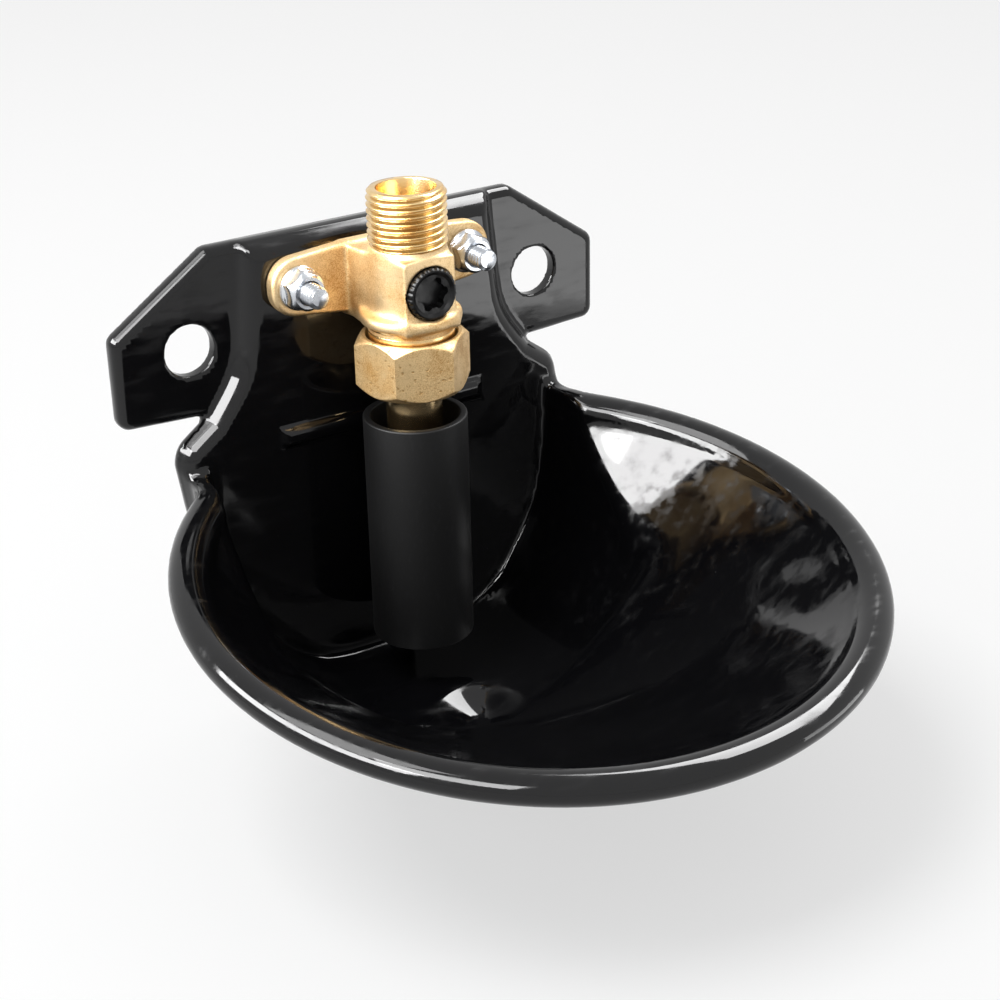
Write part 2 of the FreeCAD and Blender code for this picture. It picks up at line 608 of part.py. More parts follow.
NOZZLE_TOP = "seat_step + nozzle_height"
POPPET_TOP = NOZZLE_TOP + " + seal_thick + poppet_thick"
pieces.append(turned_piece("seat_nozzle", [
    ("nozzle_hole", "0"), ("seat_bore - fit_gap", "0"), ("seat_bore - fit_gap", "0.4"),
    ("seat_bore - 2 * ring_section - 2 * fit_gap", "0.4"),
    ("seat_bore - 2 * ring_section - 2 * fit_gap", "0.6 + 2 * ring_section"),
    ("seat_bore - fit_gap", "0.6 + 2 * ring_section"),
    ("seat_bore - fit_gap", "nozzle_height - 0.2"), ("nozzle_hole + 0.8", "nozzle_height - 0.2"),
    ("nozzle_hole + 0.5", "nozzle_height"), ("nozzle_hole", "nozzle_height")], z="seat_step"))


def o_ring(label, middle, y, z):
    """A rubber O-ring with an eight-sided section, centred on the valve axis."""
    apart = "ring_section / cos(22.5 deg)"
    return turned_piece(label, [
        (f"{middle} + {apart} * cos({angle} deg)", f"{apart} * sin({angle} deg)")
        for angle in (22.5 + 45 * k for k in range(8))], y, z)


pieces.append(o_ring("seat_o_ring", "seat_bore - fit_gap - ring_section", "-axis_reach",
                     "seat_step + 0.4 + ring_section + 0.1"))

STEM_END = "pivot_height + ball_half + stem_gap"
pieces.append(turned_piece("valve_poppet", [
    ("0", STEM_END), ("stem_radius * 0.55", STEM_END), ("stem_radius", STEM_END + " + 1"),
    ("stem_radius", NOZZLE_TOP + " + seal_thick"), ("poppet_radius", NOZZLE_TOP + " + seal_thick"),
    ("poppet_radius", POPPET_TOP), ("spring_radius - spring_wire / 2 - 0.3", POPPET_TOP),
    ("spring_radius - spring_wire / 2 - 0.8", POPPET_TOP + " + 1.2"), ("0", POPPET_TOP + " + 1.2")]))
pieces.append(turned_piece("poppet_seal", [
    ("stem_radius", NOZZLE_TOP), ("seal_radius", NOZZLE_TOP),
    ("seal_radius", NOZZLE_TOP + " + seal_thick"), ("stem_radius", NOZZLE_TOP + " + seal_thick")]))


def coil_spring():
    """A wire coil between the poppet and the strainer's flange, in short straight runs."""
    low = val(POPPET_TOP) + val("spring_wire") / 2
    high = val("strainer_step") - val("spring_wire") / 2
    radius, wire = val("spring_radius"), val("spring_wire") / 2
    runs_per_turn = 20
    runs = round(runs_per_turn * val("spring_turns"))
    path = Part.makePolygon([FreeCAD.Vector(
        radius * math.cos(2 * math.pi * k / runs_per_turn),
        radius * math.sin(2 * math.pi * k / runs_per_turn),
        (high - low) * k / runs) for k in range(runs + 1)])
    section = [FreeCAD.Vector(radius + wire * math.cos(math.pi * k / 3), 0, wire * math.sin(math.pi * k / 3))
               for k in range(6)]
    spring = doc.addObject("Part::Feature", "return_spring")
    spring.Label = "return_spring"
    mitred = 1
    spring.Shape = path.makePipeShell([Part.makePolygon(section + section[:1])], True, True, mitred)
    spring.Placement = FreeCAD.Placement(FreeCAD.Vector(0, -val("axis_reach"), low), FreeCAD.Rotation())
    pieces.append(spring)


coil_spring()

# The guide keeps the stem central where the body's passage opens.
guide = turned_piece("stem_guide", [
    ("stem_radius + fit_gap", "0"), ("passage_radius", "0"),
    ("passage_radius", "guide_height"), ("stem_radius + fit_gap", "guide_height")], z="body_bottom")
PORT_PLACE = "(stem_radius + passage_radius) / 2"
ports = circles(guide, "port_circles", "XY", [
    (f"{PORT_PLACE} * cos({angle} deg)", f"{PORT_PLACE} * sin({angle} deg)",
     "(passage_radius - stem_radius) * 0.32") for angle in range(0, 360, 60)
], "guide_height + 1")
feature(guide, "Pocket", "ports", ports, Type="ThroughAll")
pieces.append(guide)

# Flow regulator: a moulded screw plug with a hexagon socket and an O-ring.
PLUG_FACE = "body_front + plug_proud"
plug = new_body("regulator_plug", "-axis_reach", "plug_height")
head = circles(plug, "head_circle", "XZ", [("0", "0", "plug_radius")], PLUG_FACE + " - plug_head")
feature(plug, "Pad", "head", head, Length="plug_head")
UNDER_HEAD = PLUG_FACE + " - plug_head"
GROOVE_END = "groove_reach + 2 * ring_section + 0.2"
for name, radius, low, high in (
        ("rear_land", "plug_stem", GROOVE_END, UNDER_HEAD),
        ("groove_core", "plug_stem - 2 * ring_section - fit_gap", "groove_reach", GROOVE_END),
        ("front_land", "plug_stem", "groove_reach - 1", "groove_reach"),
        ("nose", "nose_radius", "plug_nose", "groove_reach - 1")):
    step = circles(plug, name + "_circle", "XZ", [("0", "0", radius)], low)
    feature(plug, "Pad", name, step, Length=f"{high} - ({low})")
socket = outline(plug, "socket_outline", "XZ", [hexagon("plug_socket", "18")], PLUG_FACE)
feature(plug, "Pocket", "socket", socket, Length="socket_depth")
pieces.append(plug)
regulator_ring = o_ring("regulator_o_ring", "plug_stem - ring_section",
                        "-axis_reach - groove_reach - ring_section - 0.1", "plug_height")
regulator_ring.Placement.Rotation = FreeCAD.Rotation(FreeCAD.Vector(1, 0, 0), 90)
pieces.append(regulator_ring)

# Union nut and the swivel that the drinking pipe hangs in.
NUT_FLOOR = "nut_bottom + nut_floor"
nut = new_body("union_nut", "-axis_reach")
nut_sketch = outline(nut, "nut_outline", "XY", [hexagon("nut_flats", "180 + nut_turn")], "nut_bottom")
feature(nut, "Pad", "nut_blank", nut_sketch, Length="nut_top - nut_bottom")
turn(nut, "Groove", "nut_bore", [
    ("0", "nut_bottom - 1"), ("nut_hole", "nut_bottom - 1"), ("nut_hole", NUT_FLOOR),
    ("neck_radius + thread_gap", NUT_FLOOR), ("neck_radius + thread_gap", "nut_top - 0.6"),
    ("neck_radius + 0.7", "nut_top + 0.1"), ("0", "nut_top + 1")])
for name, level, drop in (("top_chamfer", "nut_top", "-"), ("bottom_chamfer", "nut_bottom", "+")):
    turn(nut, "Groove", name, [
        ("nut_flats / 2 - 0.3", level), ("nut_flats / 2 + 4", level),
        ("nut_flats / 2 + 4", f"{level} {drop} 2.5")])
pieces.append(nut)

pieces.append(turned_piece("pipe_cushion_ring", [
    ("ball_radius + 0.2", NUT_FLOOR), ("neck_radius", NUT_FLOOR),
    ("neck_radius", "pivot_height - ring_below"), ("ball_radius + 0.2", "pivot_height - ring_below")]))


def ball_profile(radius, low, high):
    """Corners of a band of a ball, from its lower edge to its upper edge."""
    steps = 4
    levels = [f"(({high}) * {k / steps} + ({low}) * {1 - k / steps})" for k in range(steps + 1)]
    return [(f"sqrt({radius} ^ 2 - {level} ^ 2)", level) for level in levels]


pieces.append(turned_piece(
    "pipe_seat_ring",
    ball_profile("ring_radius", "-ring_below", "ring_above")
    + ball_profile("(ball_radius + 2 * fit_gap)", "-ring_below", "ring_above")[::-1],
    z="pivot_height"))

# Drinking pipe: a brass tube whose ball collar rocks in the seat ring.
pipe = turned_piece("drinking_pipe", [("0", "-ball_half")] + ball_profile("ball_radius", "-ball_half", "ball_half")
                    + [("0", "ball_half")], z="pivot_height")
turn(pipe, "Revolution", "tube", [
    ("0", "pipe_bottom - pivot_height"), ("pipe_radius - 0.5", "pipe_bottom - pivot_height"),
    ("pipe_radius", "pipe_bottom - pivot_height + 0.5"), ("pipe_radius", "0"), ("0", "0")])
turn(pipe, "Groove", "pipe_hollow", [
    ("0", "pipe_bottom - pivot_height - 1"), ("pipe_bore", "pipe_bottom - pivot_height - 1"),
    ("pipe_bore", "ball_half - pipe_web"), ("0", "ball_half - pipe_web")])
web_holes = circles(pipe, "web_hole_circles", "XY", [
    (f"3.7 * cos({angle} deg)", f"3.7 * sin({angle} deg)", "1.4") for angle in range(0, 360, 60)
], "ball_half + 1")
feature(pipe, "Pocket", "web_holes", web_holes, Length="pipe_web + 1.5")
pieces.append(pipe)

# Hose and the finned carrier that holds it round the pipe.
HOSE_BORE = "(hose_radius - hose_wall)"
pieces.append(turned_piece("water_hose", [
    (HOSE_BORE, "hose_bottom"), ("hose_radius", "hose_bottom"),
    ("hose_radius", "hose_top"), (HOSE_BORE, "hose_top")]))
FIN_REACH = f"sqrt({HOSE_BORE} ^ 2 - carrier_fin ^ 2 / 4)"
carrier = new_body("hose_carrier", "-axis_reach", "carrier_top - carrier_height")
sleeve = circles(carrier, "sleeve_circles", "XY", [
    ("0", "0", "pipe_radius + carrier_wall"), ("0", "0", "pipe_radius")])
feature(carrier, "Pad", "sleeve", sleeve, Length="carrier_height")
fin = outline(carrier, "fin_outline", "XY", [[
    ("pipe_radius + carrier_wall / 2", "-carrier_fin / 2"), (FIN_REACH, "-carrier_fin / 2"),
    (FIN_REACH, "carrier_fin / 2"), ("pipe_radius + carrier_wall / 2", "carrier_fin / 2")]])
first_fin = feature(carrier, "Pad", "fin", fin, Length="carrier_height")
fins = carrier.newObject("PartDesign::PolarPattern", "fins")
fins.Originals = [first_fin]
fins.Axis = (fin, ["N_Axis"])
fins.Angle = 360
fins.Occurrences = 4
doc.recompute()
carrier.Tip = fins
pieces.append(carrier)

# Every object has to be whole before anything is written.
doc.recompute()
for item in doc.Objects:
    if "Invalid" in item.State or "Error" in item.State:
        raise RuntimeError(f"{item.Label} failed: {item.State}")
for piece in pieces:
    shape = piece.Shape
    if shape.isNull() or not shape.isValid() or not shape.Solids:
        raise RuntimeError(f"{piece.Label} has no valid solid")
for piece in pieces:
    piece.Shape.exportStep(f"parts/{piece.Label}.step")
    print(piece.Label, len(piece.Shape.Solids), round(piece.Shape.Volume, 1))
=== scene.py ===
import json
import math

import bpy
import numpy as np
from mathutils import Matrix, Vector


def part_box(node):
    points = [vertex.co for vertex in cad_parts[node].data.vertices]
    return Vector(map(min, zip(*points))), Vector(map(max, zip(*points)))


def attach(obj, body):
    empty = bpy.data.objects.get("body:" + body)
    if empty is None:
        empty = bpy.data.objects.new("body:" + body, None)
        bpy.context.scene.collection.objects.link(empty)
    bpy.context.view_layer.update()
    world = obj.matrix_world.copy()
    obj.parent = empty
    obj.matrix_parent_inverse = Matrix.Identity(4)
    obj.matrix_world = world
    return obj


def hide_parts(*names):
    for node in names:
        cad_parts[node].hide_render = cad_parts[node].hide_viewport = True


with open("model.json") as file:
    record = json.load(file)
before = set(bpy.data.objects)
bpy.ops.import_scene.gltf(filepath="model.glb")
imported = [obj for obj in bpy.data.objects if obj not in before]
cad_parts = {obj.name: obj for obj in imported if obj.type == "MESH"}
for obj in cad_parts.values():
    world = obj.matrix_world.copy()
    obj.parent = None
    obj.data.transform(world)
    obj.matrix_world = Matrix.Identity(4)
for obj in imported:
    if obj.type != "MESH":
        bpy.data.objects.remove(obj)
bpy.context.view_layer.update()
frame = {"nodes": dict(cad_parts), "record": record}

# Bowl: grey iron, cast in one piece as back plate, two wings, clamp pad, throat and
# round basin with a rolled rim, then dipped in black vitreous enamel and fired.  Two
# bolts through the holes in its wings hold it to a wall.
MM = 0.001
RIM_CENTRE = np.array([0.0, -81.45, -42.3])
RIM_TILT = math.radians(7.7)
LIP_RADIUS = 83.5
BASIN_FLOOR = -105.0
BASIN_POWER = 1.5
CENTRE_SHIFT = 26.0
BASIN_WALL = 3.7
BEAD_RADIUS, BEAD_DROP = 85.6, 3.9
BEAD_HALF_WIDTH, BEAD_HALF_HEIGHT, BEAD_SCALE, BEAD_BACK = 4.85, 3.9, 4.3, -9.5
EDGE_DROP, EDGE_RISE, EDGE_RISE_START, EDGE_RISE_LENGTH = 3.2, 2.4, -26, 10
THROAT_BACK, THROAT_LENGTH, THROAT_SPREAD, THROAT_WALL = -4, 54, 6, 4.0
THROAT_TOP, THROAT_KNEE, THROAT_FOOT = (54.8, -28.0), (50.6, -72.2), (33.7, -92.8)
THROAT_BOTTOM, THROAT_RISE = -100.5, 1 / 48
PAD_FACE, WEB_FACE, WALL_FACE = -8.4, -4.0, 2.5
PAD_TOP, PAD_FOOT, PAD_HALF, PAD_FLARE = 26, -40, 38.0, 4.5 / 47
RECESS_TOP, RECESS_HALF = 22.8, 33
LEDGE_FACE, LEDGE_HALF, LEDGE_MIDDLE, LEDGE_HALF_HEIGHT = -9.9, 31.0, -28.75, 2.25
WALL_HOLE_X, WALL_HOLE_RADIUS = 53.5, 7.0
CLAMP_X, CLAMP_Z, CLAMP_HOLE_RADIUS = 25.5, 14.0, 3.3
WING_CORNERS = [(45.4, 22.5), (71.0, 4.8), (71.0, -14.8), (50.0, -15.8), (47.9, -18.5),
                (-47.9, -18.5), (-50.0, -15.8), (-71.0, -14.8), (-71.0, 4.8), (-45.4, 22.5)]
LOBE_CORNERS = [(31, -6), (45, -25), (52.5, -30.5), (50.5, -42), (45, -66), (33, -86), (17, -97),
                (-17, -97), (-33, -86), (-45, -66), (-50.5, -42), (-52.5, -30.5), (-45, -25), (-31, -6)]
WING_ROUND, LOBE_ROUND = 3.5, 7.5
WING_BORDER, WEB_FOOT, PAD_DRAFT = 3.8, -19.5, 0.5


def smooth_min(a, b, reach):
    """The smaller of two distances, less a cubic bump where they differ by under reach."""
    mix = np.clip(reach - np.abs(a - b), 0, None) / reach
    return np.minimum(a, b) - mix ** 3 * reach / 6


def smooth_max(a, b, reach):
    """The larger of two distances, rounded in the same way."""
    return -smooth_min(-a, -b, reach)


def polygon(x, z, corners):
    """Signed distance to a closed outline: to its nearest side, negative inside."""
    corners = np.array(corners, float)
    nearest = np.full(x.shape, np.inf)
    inside = np.ones(x.shape)
    for (ax, az), (bx, bz) in zip(corners, np.roll(corners, -1, axis=0)):
        ex, ez = bx - ax, bz - az
        wx, wz = x - ax, z - az
        t = np.clip((wx * ex + wz * ez) / (ex * ex + ez * ez), 0, 1)
        nearest = np.minimum(nearest, (wx - ex * t) ** 2 + (wz - ez * t) ** 2)
        crosses = ((az <= z) != (bz <= z)) & ((ex * wz - ez * wx > 0) == (ez > 0))
        inside = np.where(crosses, -inside, inside)
    return inside * np.sqrt(nearest)


def slab(flat, y, front, back, rounding):
    """Distance to an outline given thickness between two planes, its edges rounded."""
    across = np.abs(y - (front + back) / 2) - (back - front) / 2 + rounding
    flat = flat + rounding
    outside = np.sqrt(np.clip(flat, 0, None) ** 2 + np.clip(across, 0, None) ** 2)
    return outside + np.minimum(np.maximum(flat, across), 0) - rounding


def rim_frame(p):
    """Radius about the rim's tilted axis, and height over the rim's plane."""
    q = p - RIM_CENTRE
    along = q[:, 1] * math.cos(RIM_TILT) + q[:, 2] * math.sin(RIM_TILT)
    height = q[:, 2] * math.cos(RIM_TILT) - q[:, 1] * math.sin(RIM_TILT)
    return np.hypot(q[:, 0], along), height


def basin(p):
    """Distance to the inside of the basin, whose round sections shrink and step back.

    u runs from 0 at the rim's plane to 1 at the floor.  The section at u is a circle
    of radius rho whose middle moves back with u, and the surface is where rho over
    the lip's radius, to the power of 1.5, plus u is 1.  What that sum has over 1,
    divided by the length of its gradient, is close to a distance.
    """
    x, y, z = p.T
    tilt = math.tan(RIM_TILT)
    span = RIM_CENTRE[2] + tilt * (y - RIM_CENTRE[1]) - BASIN_FLOOR
    u = 1 - (z - BASIN_FLOOR) / span
    along = y - RIM_CENTRE[1] - CENTRE_SHIFT * u
    rho = np.clip(np.hypot(x, along), 2, None)
    value = (rho / LIP_RADIUS) ** BASIN_POWER + u - 1
    pull = BASIN_POWER * rho ** (BASIN_POWER - 2) / LIP_RADIUS ** BASIN_POWER
    rise = tilt * (1 - u) / span
    gx = pull * x
    gy = pull * along * (1 - CENTRE_SHIFT * rise) + rise
    gz = (pull * along * CENTRE_SHIFT - 1) / span
    return value / np.sqrt(gx * gx + gy * gy + gz * gz)


def sloping_side(x, z, top, foot):
    """Distance beyond the straight line through two points of x and z."""
    lean, drop = top[0] - foot[0], top[1] - foot[1]
    return ((x - top[0]) * drop - (z - top[1]) * lean) / math.hypot(drop, lean)


def throat(p, wall):
    """Distance to the throat from basin to back plate, grown by a wall's thickness.

    Two sloping sides and a bottom bound it, which spread and drop slightly from
    front to back, and it ends in a plane across.
    """
    ahead = THROAT_BACK - p[:, 1]
    x = np.abs(p[:, 0]) - ahead * THROAT_SPREAD / THROAT_LENGTH
    upper = sloping_side(x, p[:, 2], THROAT_TOP, THROAT_KNEE)
    lower = sloping_side(x, p[:, 2], THROAT_KNEE, THROAT_FOOT)
    bottom = THROAT_BOTTOM + ahead * THROAT_RISE - p[:, 2]
    sides = smooth_max(smooth_max(upper, lower, 14), bottom, 18) - wall
    return smooth_max(sides, ahead - THROAT_LENGTH, 8)


def shell_and_rim(p):
    """Distance to the hollow shell of basin and throat, with the rolled rim round it.

    The shell is what both forms grown by their walls hold under the rim, less the
    hollow; the rim is an ellipse turned about the rim's axis, open at the throat.
    The last value in each smooth call, here and below, is its rounding.
    """
    y = p[:, 1]
    radius, height = rim_frame(p)
    inside, trough = basin(p), throat(p, 0.0)
    outer = smooth_min(inside - BASIN_WALL, throat(p, THROAT_WALL), 6)
    edge = height + EDGE_DROP - EDGE_RISE * np.clip((y - EDGE_RISE_START) / EDGE_RISE_LENGTH, 0, 1)
    shell = smooth_max(smooth_max(outer, edge, 2.5), y, 2.5)
    hollow = smooth_max(smooth_min(inside, trough, 4), y - WEB_FACE + 0.4, 1)
    shell = smooth_max(shell, -hollow, 1.5)
    oval = np.hypot((radius - BEAD_RADIUS) / BEAD_HALF_WIDTH, (height + BEAD_DROP) / BEAD_HALF_HEIGHT)
    bead = smooth_max(smooth_max(BEAD_SCALE * (oval - 1), y - BEAD_BACK, 1.5), -trough, 2.5)
    return smooth_min(shell, bead, 3.0)


def back_plate(p):
    """Distance to the web with its wings, hollow behind, and the pad that stands on it."""
    x, y, z = p.T
    wings = polygon(x, z, WING_CORNERS) - WING_ROUND
    plate = slab(wings, y, WEB_FACE, WALL_FACE, 2.6)
    rear = smooth_max(np.minimum(wings + WING_BORDER, z - WEB_FOOT), -y, 1.0)
    plate = smooth_max(plate, -rear, 1.0)
    pad = smooth_max(z - PAD_TOP, np.abs(x) - PAD_HALF - (PAD_TOP - z) * PAD_FLARE, 2.5)
    pad = smooth_max(pad, PAD_FOOT - z, 2.5)
    front = smooth_min(pad, polygon(x, z, LOBE_CORNERS) - LOBE_ROUND, 6.0)
    draft = np.clip(WEB_FACE - y, 0, WEB_FACE - PAD_FACE) * PAD_DRAFT
    return smooth_min(plate, slab(front + draft, y, PAD_FACE, -0.2, 2.8), 2.5)


def casting(p):
    """Distance to the whole casting: plate and shell, a recess behind, a ledge and four holes."""
    x, y, z = p.T
    whole = smooth_min(back_plate(p), shell_and_rim(p), 5.0)
    recess = np.maximum(np.abs(x) - RECESS_HALF - (RECESS_TOP - z) * 0.05, np.abs(z + 10) - RECESS_HALF)
    whole = smooth_max(whole, -slab(recess, y, WEB_FACE, 9.0, 1.2), 1.4)
    ledge = np.maximum(np.abs(x) - LEDGE_HALF, np.abs(z - LEDGE_MIDDLE) - LEDGE_HALF_HEIGHT)
    whole = smooth_min(whole, slab(ledge, y, LEDGE_FACE, -6.0, 1.4), 2.6)
    wall_hole = np.hypot(np.abs(x) - WALL_HOLE_X, z) - WALL_HOLE_RADIUS
    clamp_hole = np.hypot(np.abs(x) - CLAMP_X, z - CLAMP_Z) - CLAMP_HOLE_RADIUS
    return smooth_max(smooth_max(whole, -wall_hole, 1.2), -clamp_hole, 0.6)


def slope(field, p):
    """Gradient of a distance: its difference over a short step each way along each axis."""
    reach = 0.02
    return np.stack([(field(p + step) - field(p - step)) / (2 * reach)
                     for step in np.eye(3) * reach], axis=1)


def cast_skin(name, field, low, high, step):
    """The surface where a distance is zero, by surface nets on an even grid.

    Each cell that the surface crosses gets one corner, the mean of where its edges
    cross it, and each crossed edge one square of the four cells round it.  The
    corners then slide along the slope onto the surface, in five moves of 0.4 of the
    grid's step at most, and the slope there is kept as the shading normal.
    """
    axes = [np.arange(a, b + step, step) for a, b in zip(low, high)]
    shape = tuple(len(axis) for axis in axes)
    value = np.empty(shape)
    y, z = np.meshgrid(axes[1], axes[2], indexing="ij")
    for i, x in enumerate(axes[0]):
        plane = np.stack([np.full(y.size, x), y.ravel(), z.ravel()], axis=1)
        value[i] = field(plane).reshape(y.shape)
    inside = value < 0
    cells = tuple(n - 1 for n in shape)
    total, count = np.zeros(cells + (3,)), np.zeros(cells)
    crossings = []
    for axis in range(3):
        first = tuple(slice(0, -1) if k == axis else slice(None) for k in range(3))
        second = tuple(slice(1, None) if k == axis else slice(None) for k in range(3))
        crossed = inside[first] != inside[second]
        crossings.append((crossed, inside[first]))
        share = np.where(crossed, value[first] / np.where(crossed, value[first] - value[second], 1), 0)
        side, other = [k for k in range(3) if k != axis]
        for one, two in ((0, 0), (0, 1), (1, 0), (1, 1)):
            cut = [slice(None)] * 3
            cut[side] = slice(one, one + cells[side])
            cut[other] = slice(two, two + cells[other])
            hit = crossed[tuple(cut)]
            count += hit
            total[..., axis] += np.where(hit, share[tuple(cut)], 0)
            total[..., side] += hit * one
            total[..., other] += hit * two
    active = count > 0
    index = np.full(cells, -1)
    index[active] = np.arange(active.sum())
    p = (total[active] / count[active][:, None] + np.argwhere(active)) * step + np.array(low)
    faces = []
    for axis, (crossed, starts) in enumerate(crossings):
        b, c = (axis + 1) % 3, (axis + 2) % 3
        at = np.argwhere(crossed)
        at = at[(at[:, b] > 0) & (at[:, c] > 0) & (at[:, b] < cells[b]) & (at[:, c] < cells[c])]
        back_b, back_c = np.eye(3, dtype=int)[b], np.eye(3, dtype=int)[c]
        ring = [index[tuple(q.T)] for q in (at - back_b - back_c, at - back_c, at, at - back_b)]
        quads = np.stack(ring, axis=1)
        flip = ~starts[tuple(at.T)]
        quads[flip] = quads[flip][:, ::-1]
        faces.append(quads)
    for _ in range(5):
        gradient = slope(field, p)
        steepness = np.clip((gradient ** 2).sum(1), 0.25, None)
        move = gradient * (field(p) / steepness)[:, None]
        length = np.sqrt((move ** 2).sum(1))[:, None]
        p -= move * np.minimum(1, 0.4 * step / np.maximum(length, 1e-9))
    mesh = bpy.data.meshes.new(name)
    mesh.from_pydata((p * MM).tolist(), [], np.concatenate(faces).tolist())
    mesh.shade_smooth()
    normal = slope(field, p)
    normal /= np.clip(np.sqrt((normal ** 2).sum(1)), 1e-6, None)[:, None]
    mesh.normals_split_custom_set_from_vertices(normal.tolist())
    piece = bpy.data.objects.new(name, mesh)
    bpy.context.scene.collection.objects.link(piece)
    return piece


def linear(code):
    """sRGB hex text as a linear colour with alpha."""
    parts = [int(code[i:i + 2], 16) / 255 for i in (1, 3, 5)]
    return tuple(c / 12.92 if c < 0.04045 else ((c + 0.055) / 1.055) ** 2.4 for c in parts) + (1.0,)


def add(tree, kind, links=None, values=None, **settings):
    """One shader node with its settings; links and values go by an input's name or number."""
    node = tree.nodes.new(kind)
    for key, value in settings.items():
        if hasattr(node, key):
            setattr(node, key, value)
        else:
            node.inputs[key.replace("_", " ")].default_value = value
    for key, value in (values or {}).items():
        node.inputs[key].default_value = value
    for key, source in (links or {}).items():
        tree.links.new(source, node.inputs[key])
    return node


def new_finish(name):
    """An empty material, its tree and its output node."""
    made = bpy.data.materials.new(name)
    made.use_nodes = True
    tree = made.node_tree
    tree.nodes.clear()
    return made, tree, add(tree, "ShaderNodeOutputMaterial")


# Vitreous enamel is glass fused onto the iron from a dipped slip.  To the eye it is
# deep black and mirror-sharp, slightly wavy, dulled by wipe marks and flecked with dust.
PEEL_WIDTH, WAVE_WIDTH, WIPE_WIDTH, DUST_WIDTH = 5.88, 22.2, 3.33, 0.714


def vitreous_enamel():
    """Black glass with two waves in its surface, streaks of haze and sparse grey specks."""
    made, tree, output = new_finish("black_vitreous_enamel")
    place = add(tree, "ShaderNodeTexCoord").outputs["Object"]
    peel = add(tree, "ShaderNodeTexNoise", {"Vector": place}, Scale=1 / (PEEL_WIDTH * MM), Detail=1.0)
    wave = add(tree, "ShaderNodeTexNoise", {"Vector": place}, Scale=1 / (WAVE_WIDTH * MM), Detail=2.0)
    height = add(tree, "ShaderNodeMix", {"A": peel.outputs["Fac"], "B": wave.outputs["Fac"]}, Factor=0.6)
    bump = add(tree, "ShaderNodeBump", {"Height": height.outputs["Result"]},
               Strength=0.05, Distance=0.6 * MM)
    drawn = add(tree, "ShaderNodeMapping", {"Vector": place},
                Scale=(0.25, 1.0, 1.0), Rotation=(0, 0, 0.6))
    wipe = add(tree, "ShaderNodeTexNoise", {"Vector": drawn.outputs["Vector"]},
               Scale=1 / (WIPE_WIDTH * MM), Detail=5.0)
    haze = add(tree, "ShaderNodeMapRange", {"Value": wipe.outputs["Fac"]},
               From_Min=0.45, From_Max=0.75, To_Min=0.05, To_Max=0.26)
    dust = add(tree, "ShaderNodeTexNoise", {"Vector": place}, Scale=1 / (DUST_WIDTH * MM), Detail=1.0)
    speck = add(tree, "ShaderNodeMapRange", {"Value": dust.outputs["Fac"]}, From_Min=0.79, From_Max=0.83)
    colour = add(tree, "ShaderNodeMix", {0: speck.outputs["Result"]},
                 {6: linear("#0b0b0d"), 7: linear("#333335")}, data_type="RGBA")
    glass = add(tree, "ShaderNodeBsdfPrincipled",
                {"Roughness": haze.outputs["Result"], "Normal": bump.outputs["Normal"],
                 "Base Color": colour.outputs[2]}, IOR=1.42)
    tree.links.new(glass.outputs["BSDF"], output.inputs["Surface"])
    return made


bowl = cast_skin("bowl_enamelled", casting, (-96, -176, -113), (96, 6, 30), 1.18)
bowl.data.materials.append(vitreous_enamel())
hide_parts("bowl")
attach(bowl, "root")

# Valve body: brass, sand-cast with a flared collar and two bolted ears in one piece,
# then bored through and drilled for the plug.  Two clamp bolts hold its ears to the pad.
VALVE_Y = -25.7
BLOCK_FRONT, BLOCK_MIDDLE, BLOCK_HALF = -36.3, 12.8, 9.9
PLUG_Z, PLUG_HOLE_RADIUS = 13.6, 7.15
NECK_BORE, INLET_BORE = 9.8, 7.76
BLOCK_NARROW, BLOCK_TAPER = 7.6, 4.1 / 27.9
SHOULDER_RADIUS, SHOULDER_MIDDLE, SHOULDER_HALF = 9.9, 12.0, 12.4
COLLAR_RADIUS, COLLAR_MIDDLE, COLLAR_HALF = 13.5, 5.2, 1.5
STUB_RADIUS, STUB_MIDDLE, STUB_HALF = 11.0, 0.5, 4.5
EAR_ROUND, EAR_FRONT, EAR_BACK, EAR_HOLE_RADIUS = 7.4, -12.7, -8.45, 3.35
EAR_CORNERS = [(25.7, 14.6), (10.7, 15.8), (-10.7, 15.8), (-25.7, 14.6),
               (-25.7, 13.4), (-10.7, 11.6), (10.7, 11.6), (25.7, 13.4)]


def brass_casting(p):
    """Distance to the valve body: block, shoulder, collar, stub and ears, less its holes."""
    x, y, z = p.T
    radius = np.hypot(x, y - VALVE_Y)
    flank = (np.abs(x) - BLOCK_NARROW - (y - BLOCK_FRONT) * BLOCK_TAPER) * 0.99
    block = smooth_max(smooth_max(flank, BLOCK_FRONT - y, 1.3), y - PAD_FACE, 1.0)
    block = smooth_max(block, np.abs(z - BLOCK_MIDDLE) - BLOCK_HALF, 1.8)
    shoulder = smooth_max(radius - SHOULDER_RADIUS, np.abs(z - SHOULDER_MIDDLE) - SHOULDER_HALF, 0.8)
    collar = smooth_max(radius - COLLAR_RADIUS, np.abs(z - COLLAR_MIDDLE) - COLLAR_HALF, 2.2)
    stub = np.maximum(radius - STUB_RADIUS, np.abs(z - STUB_MIDDLE) - STUB_HALF)
    whole = smooth_min(smooth_min(block, shoulder, 3.0), smooth_min(collar, stub, 1.0), 4.0)
    ears = polygon(x, z, EAR_CORNERS) - EAR_ROUND
    whole = smooth_min(whole, slab(ears, y, EAR_FRONT, EAR_BACK, 1.1), 2.0)
    bore = radius - np.where(z < 2, NECK_BORE, INLET_BORE)
    plug_hole = np.maximum(np.hypot(x, z - PLUG_Z) - PLUG_HOLE_RADIUS, y + 28)
    whole = smooth_max(whole, -bore, 0.4)
    whole = smooth_max(whole, -plug_hole, 0.5)
    return smooth_max(whole, EAR_HOLE_RADIUS - np.hypot(np.abs(x) - CLAMP_X, z - CLAMP_Z), 0.5)


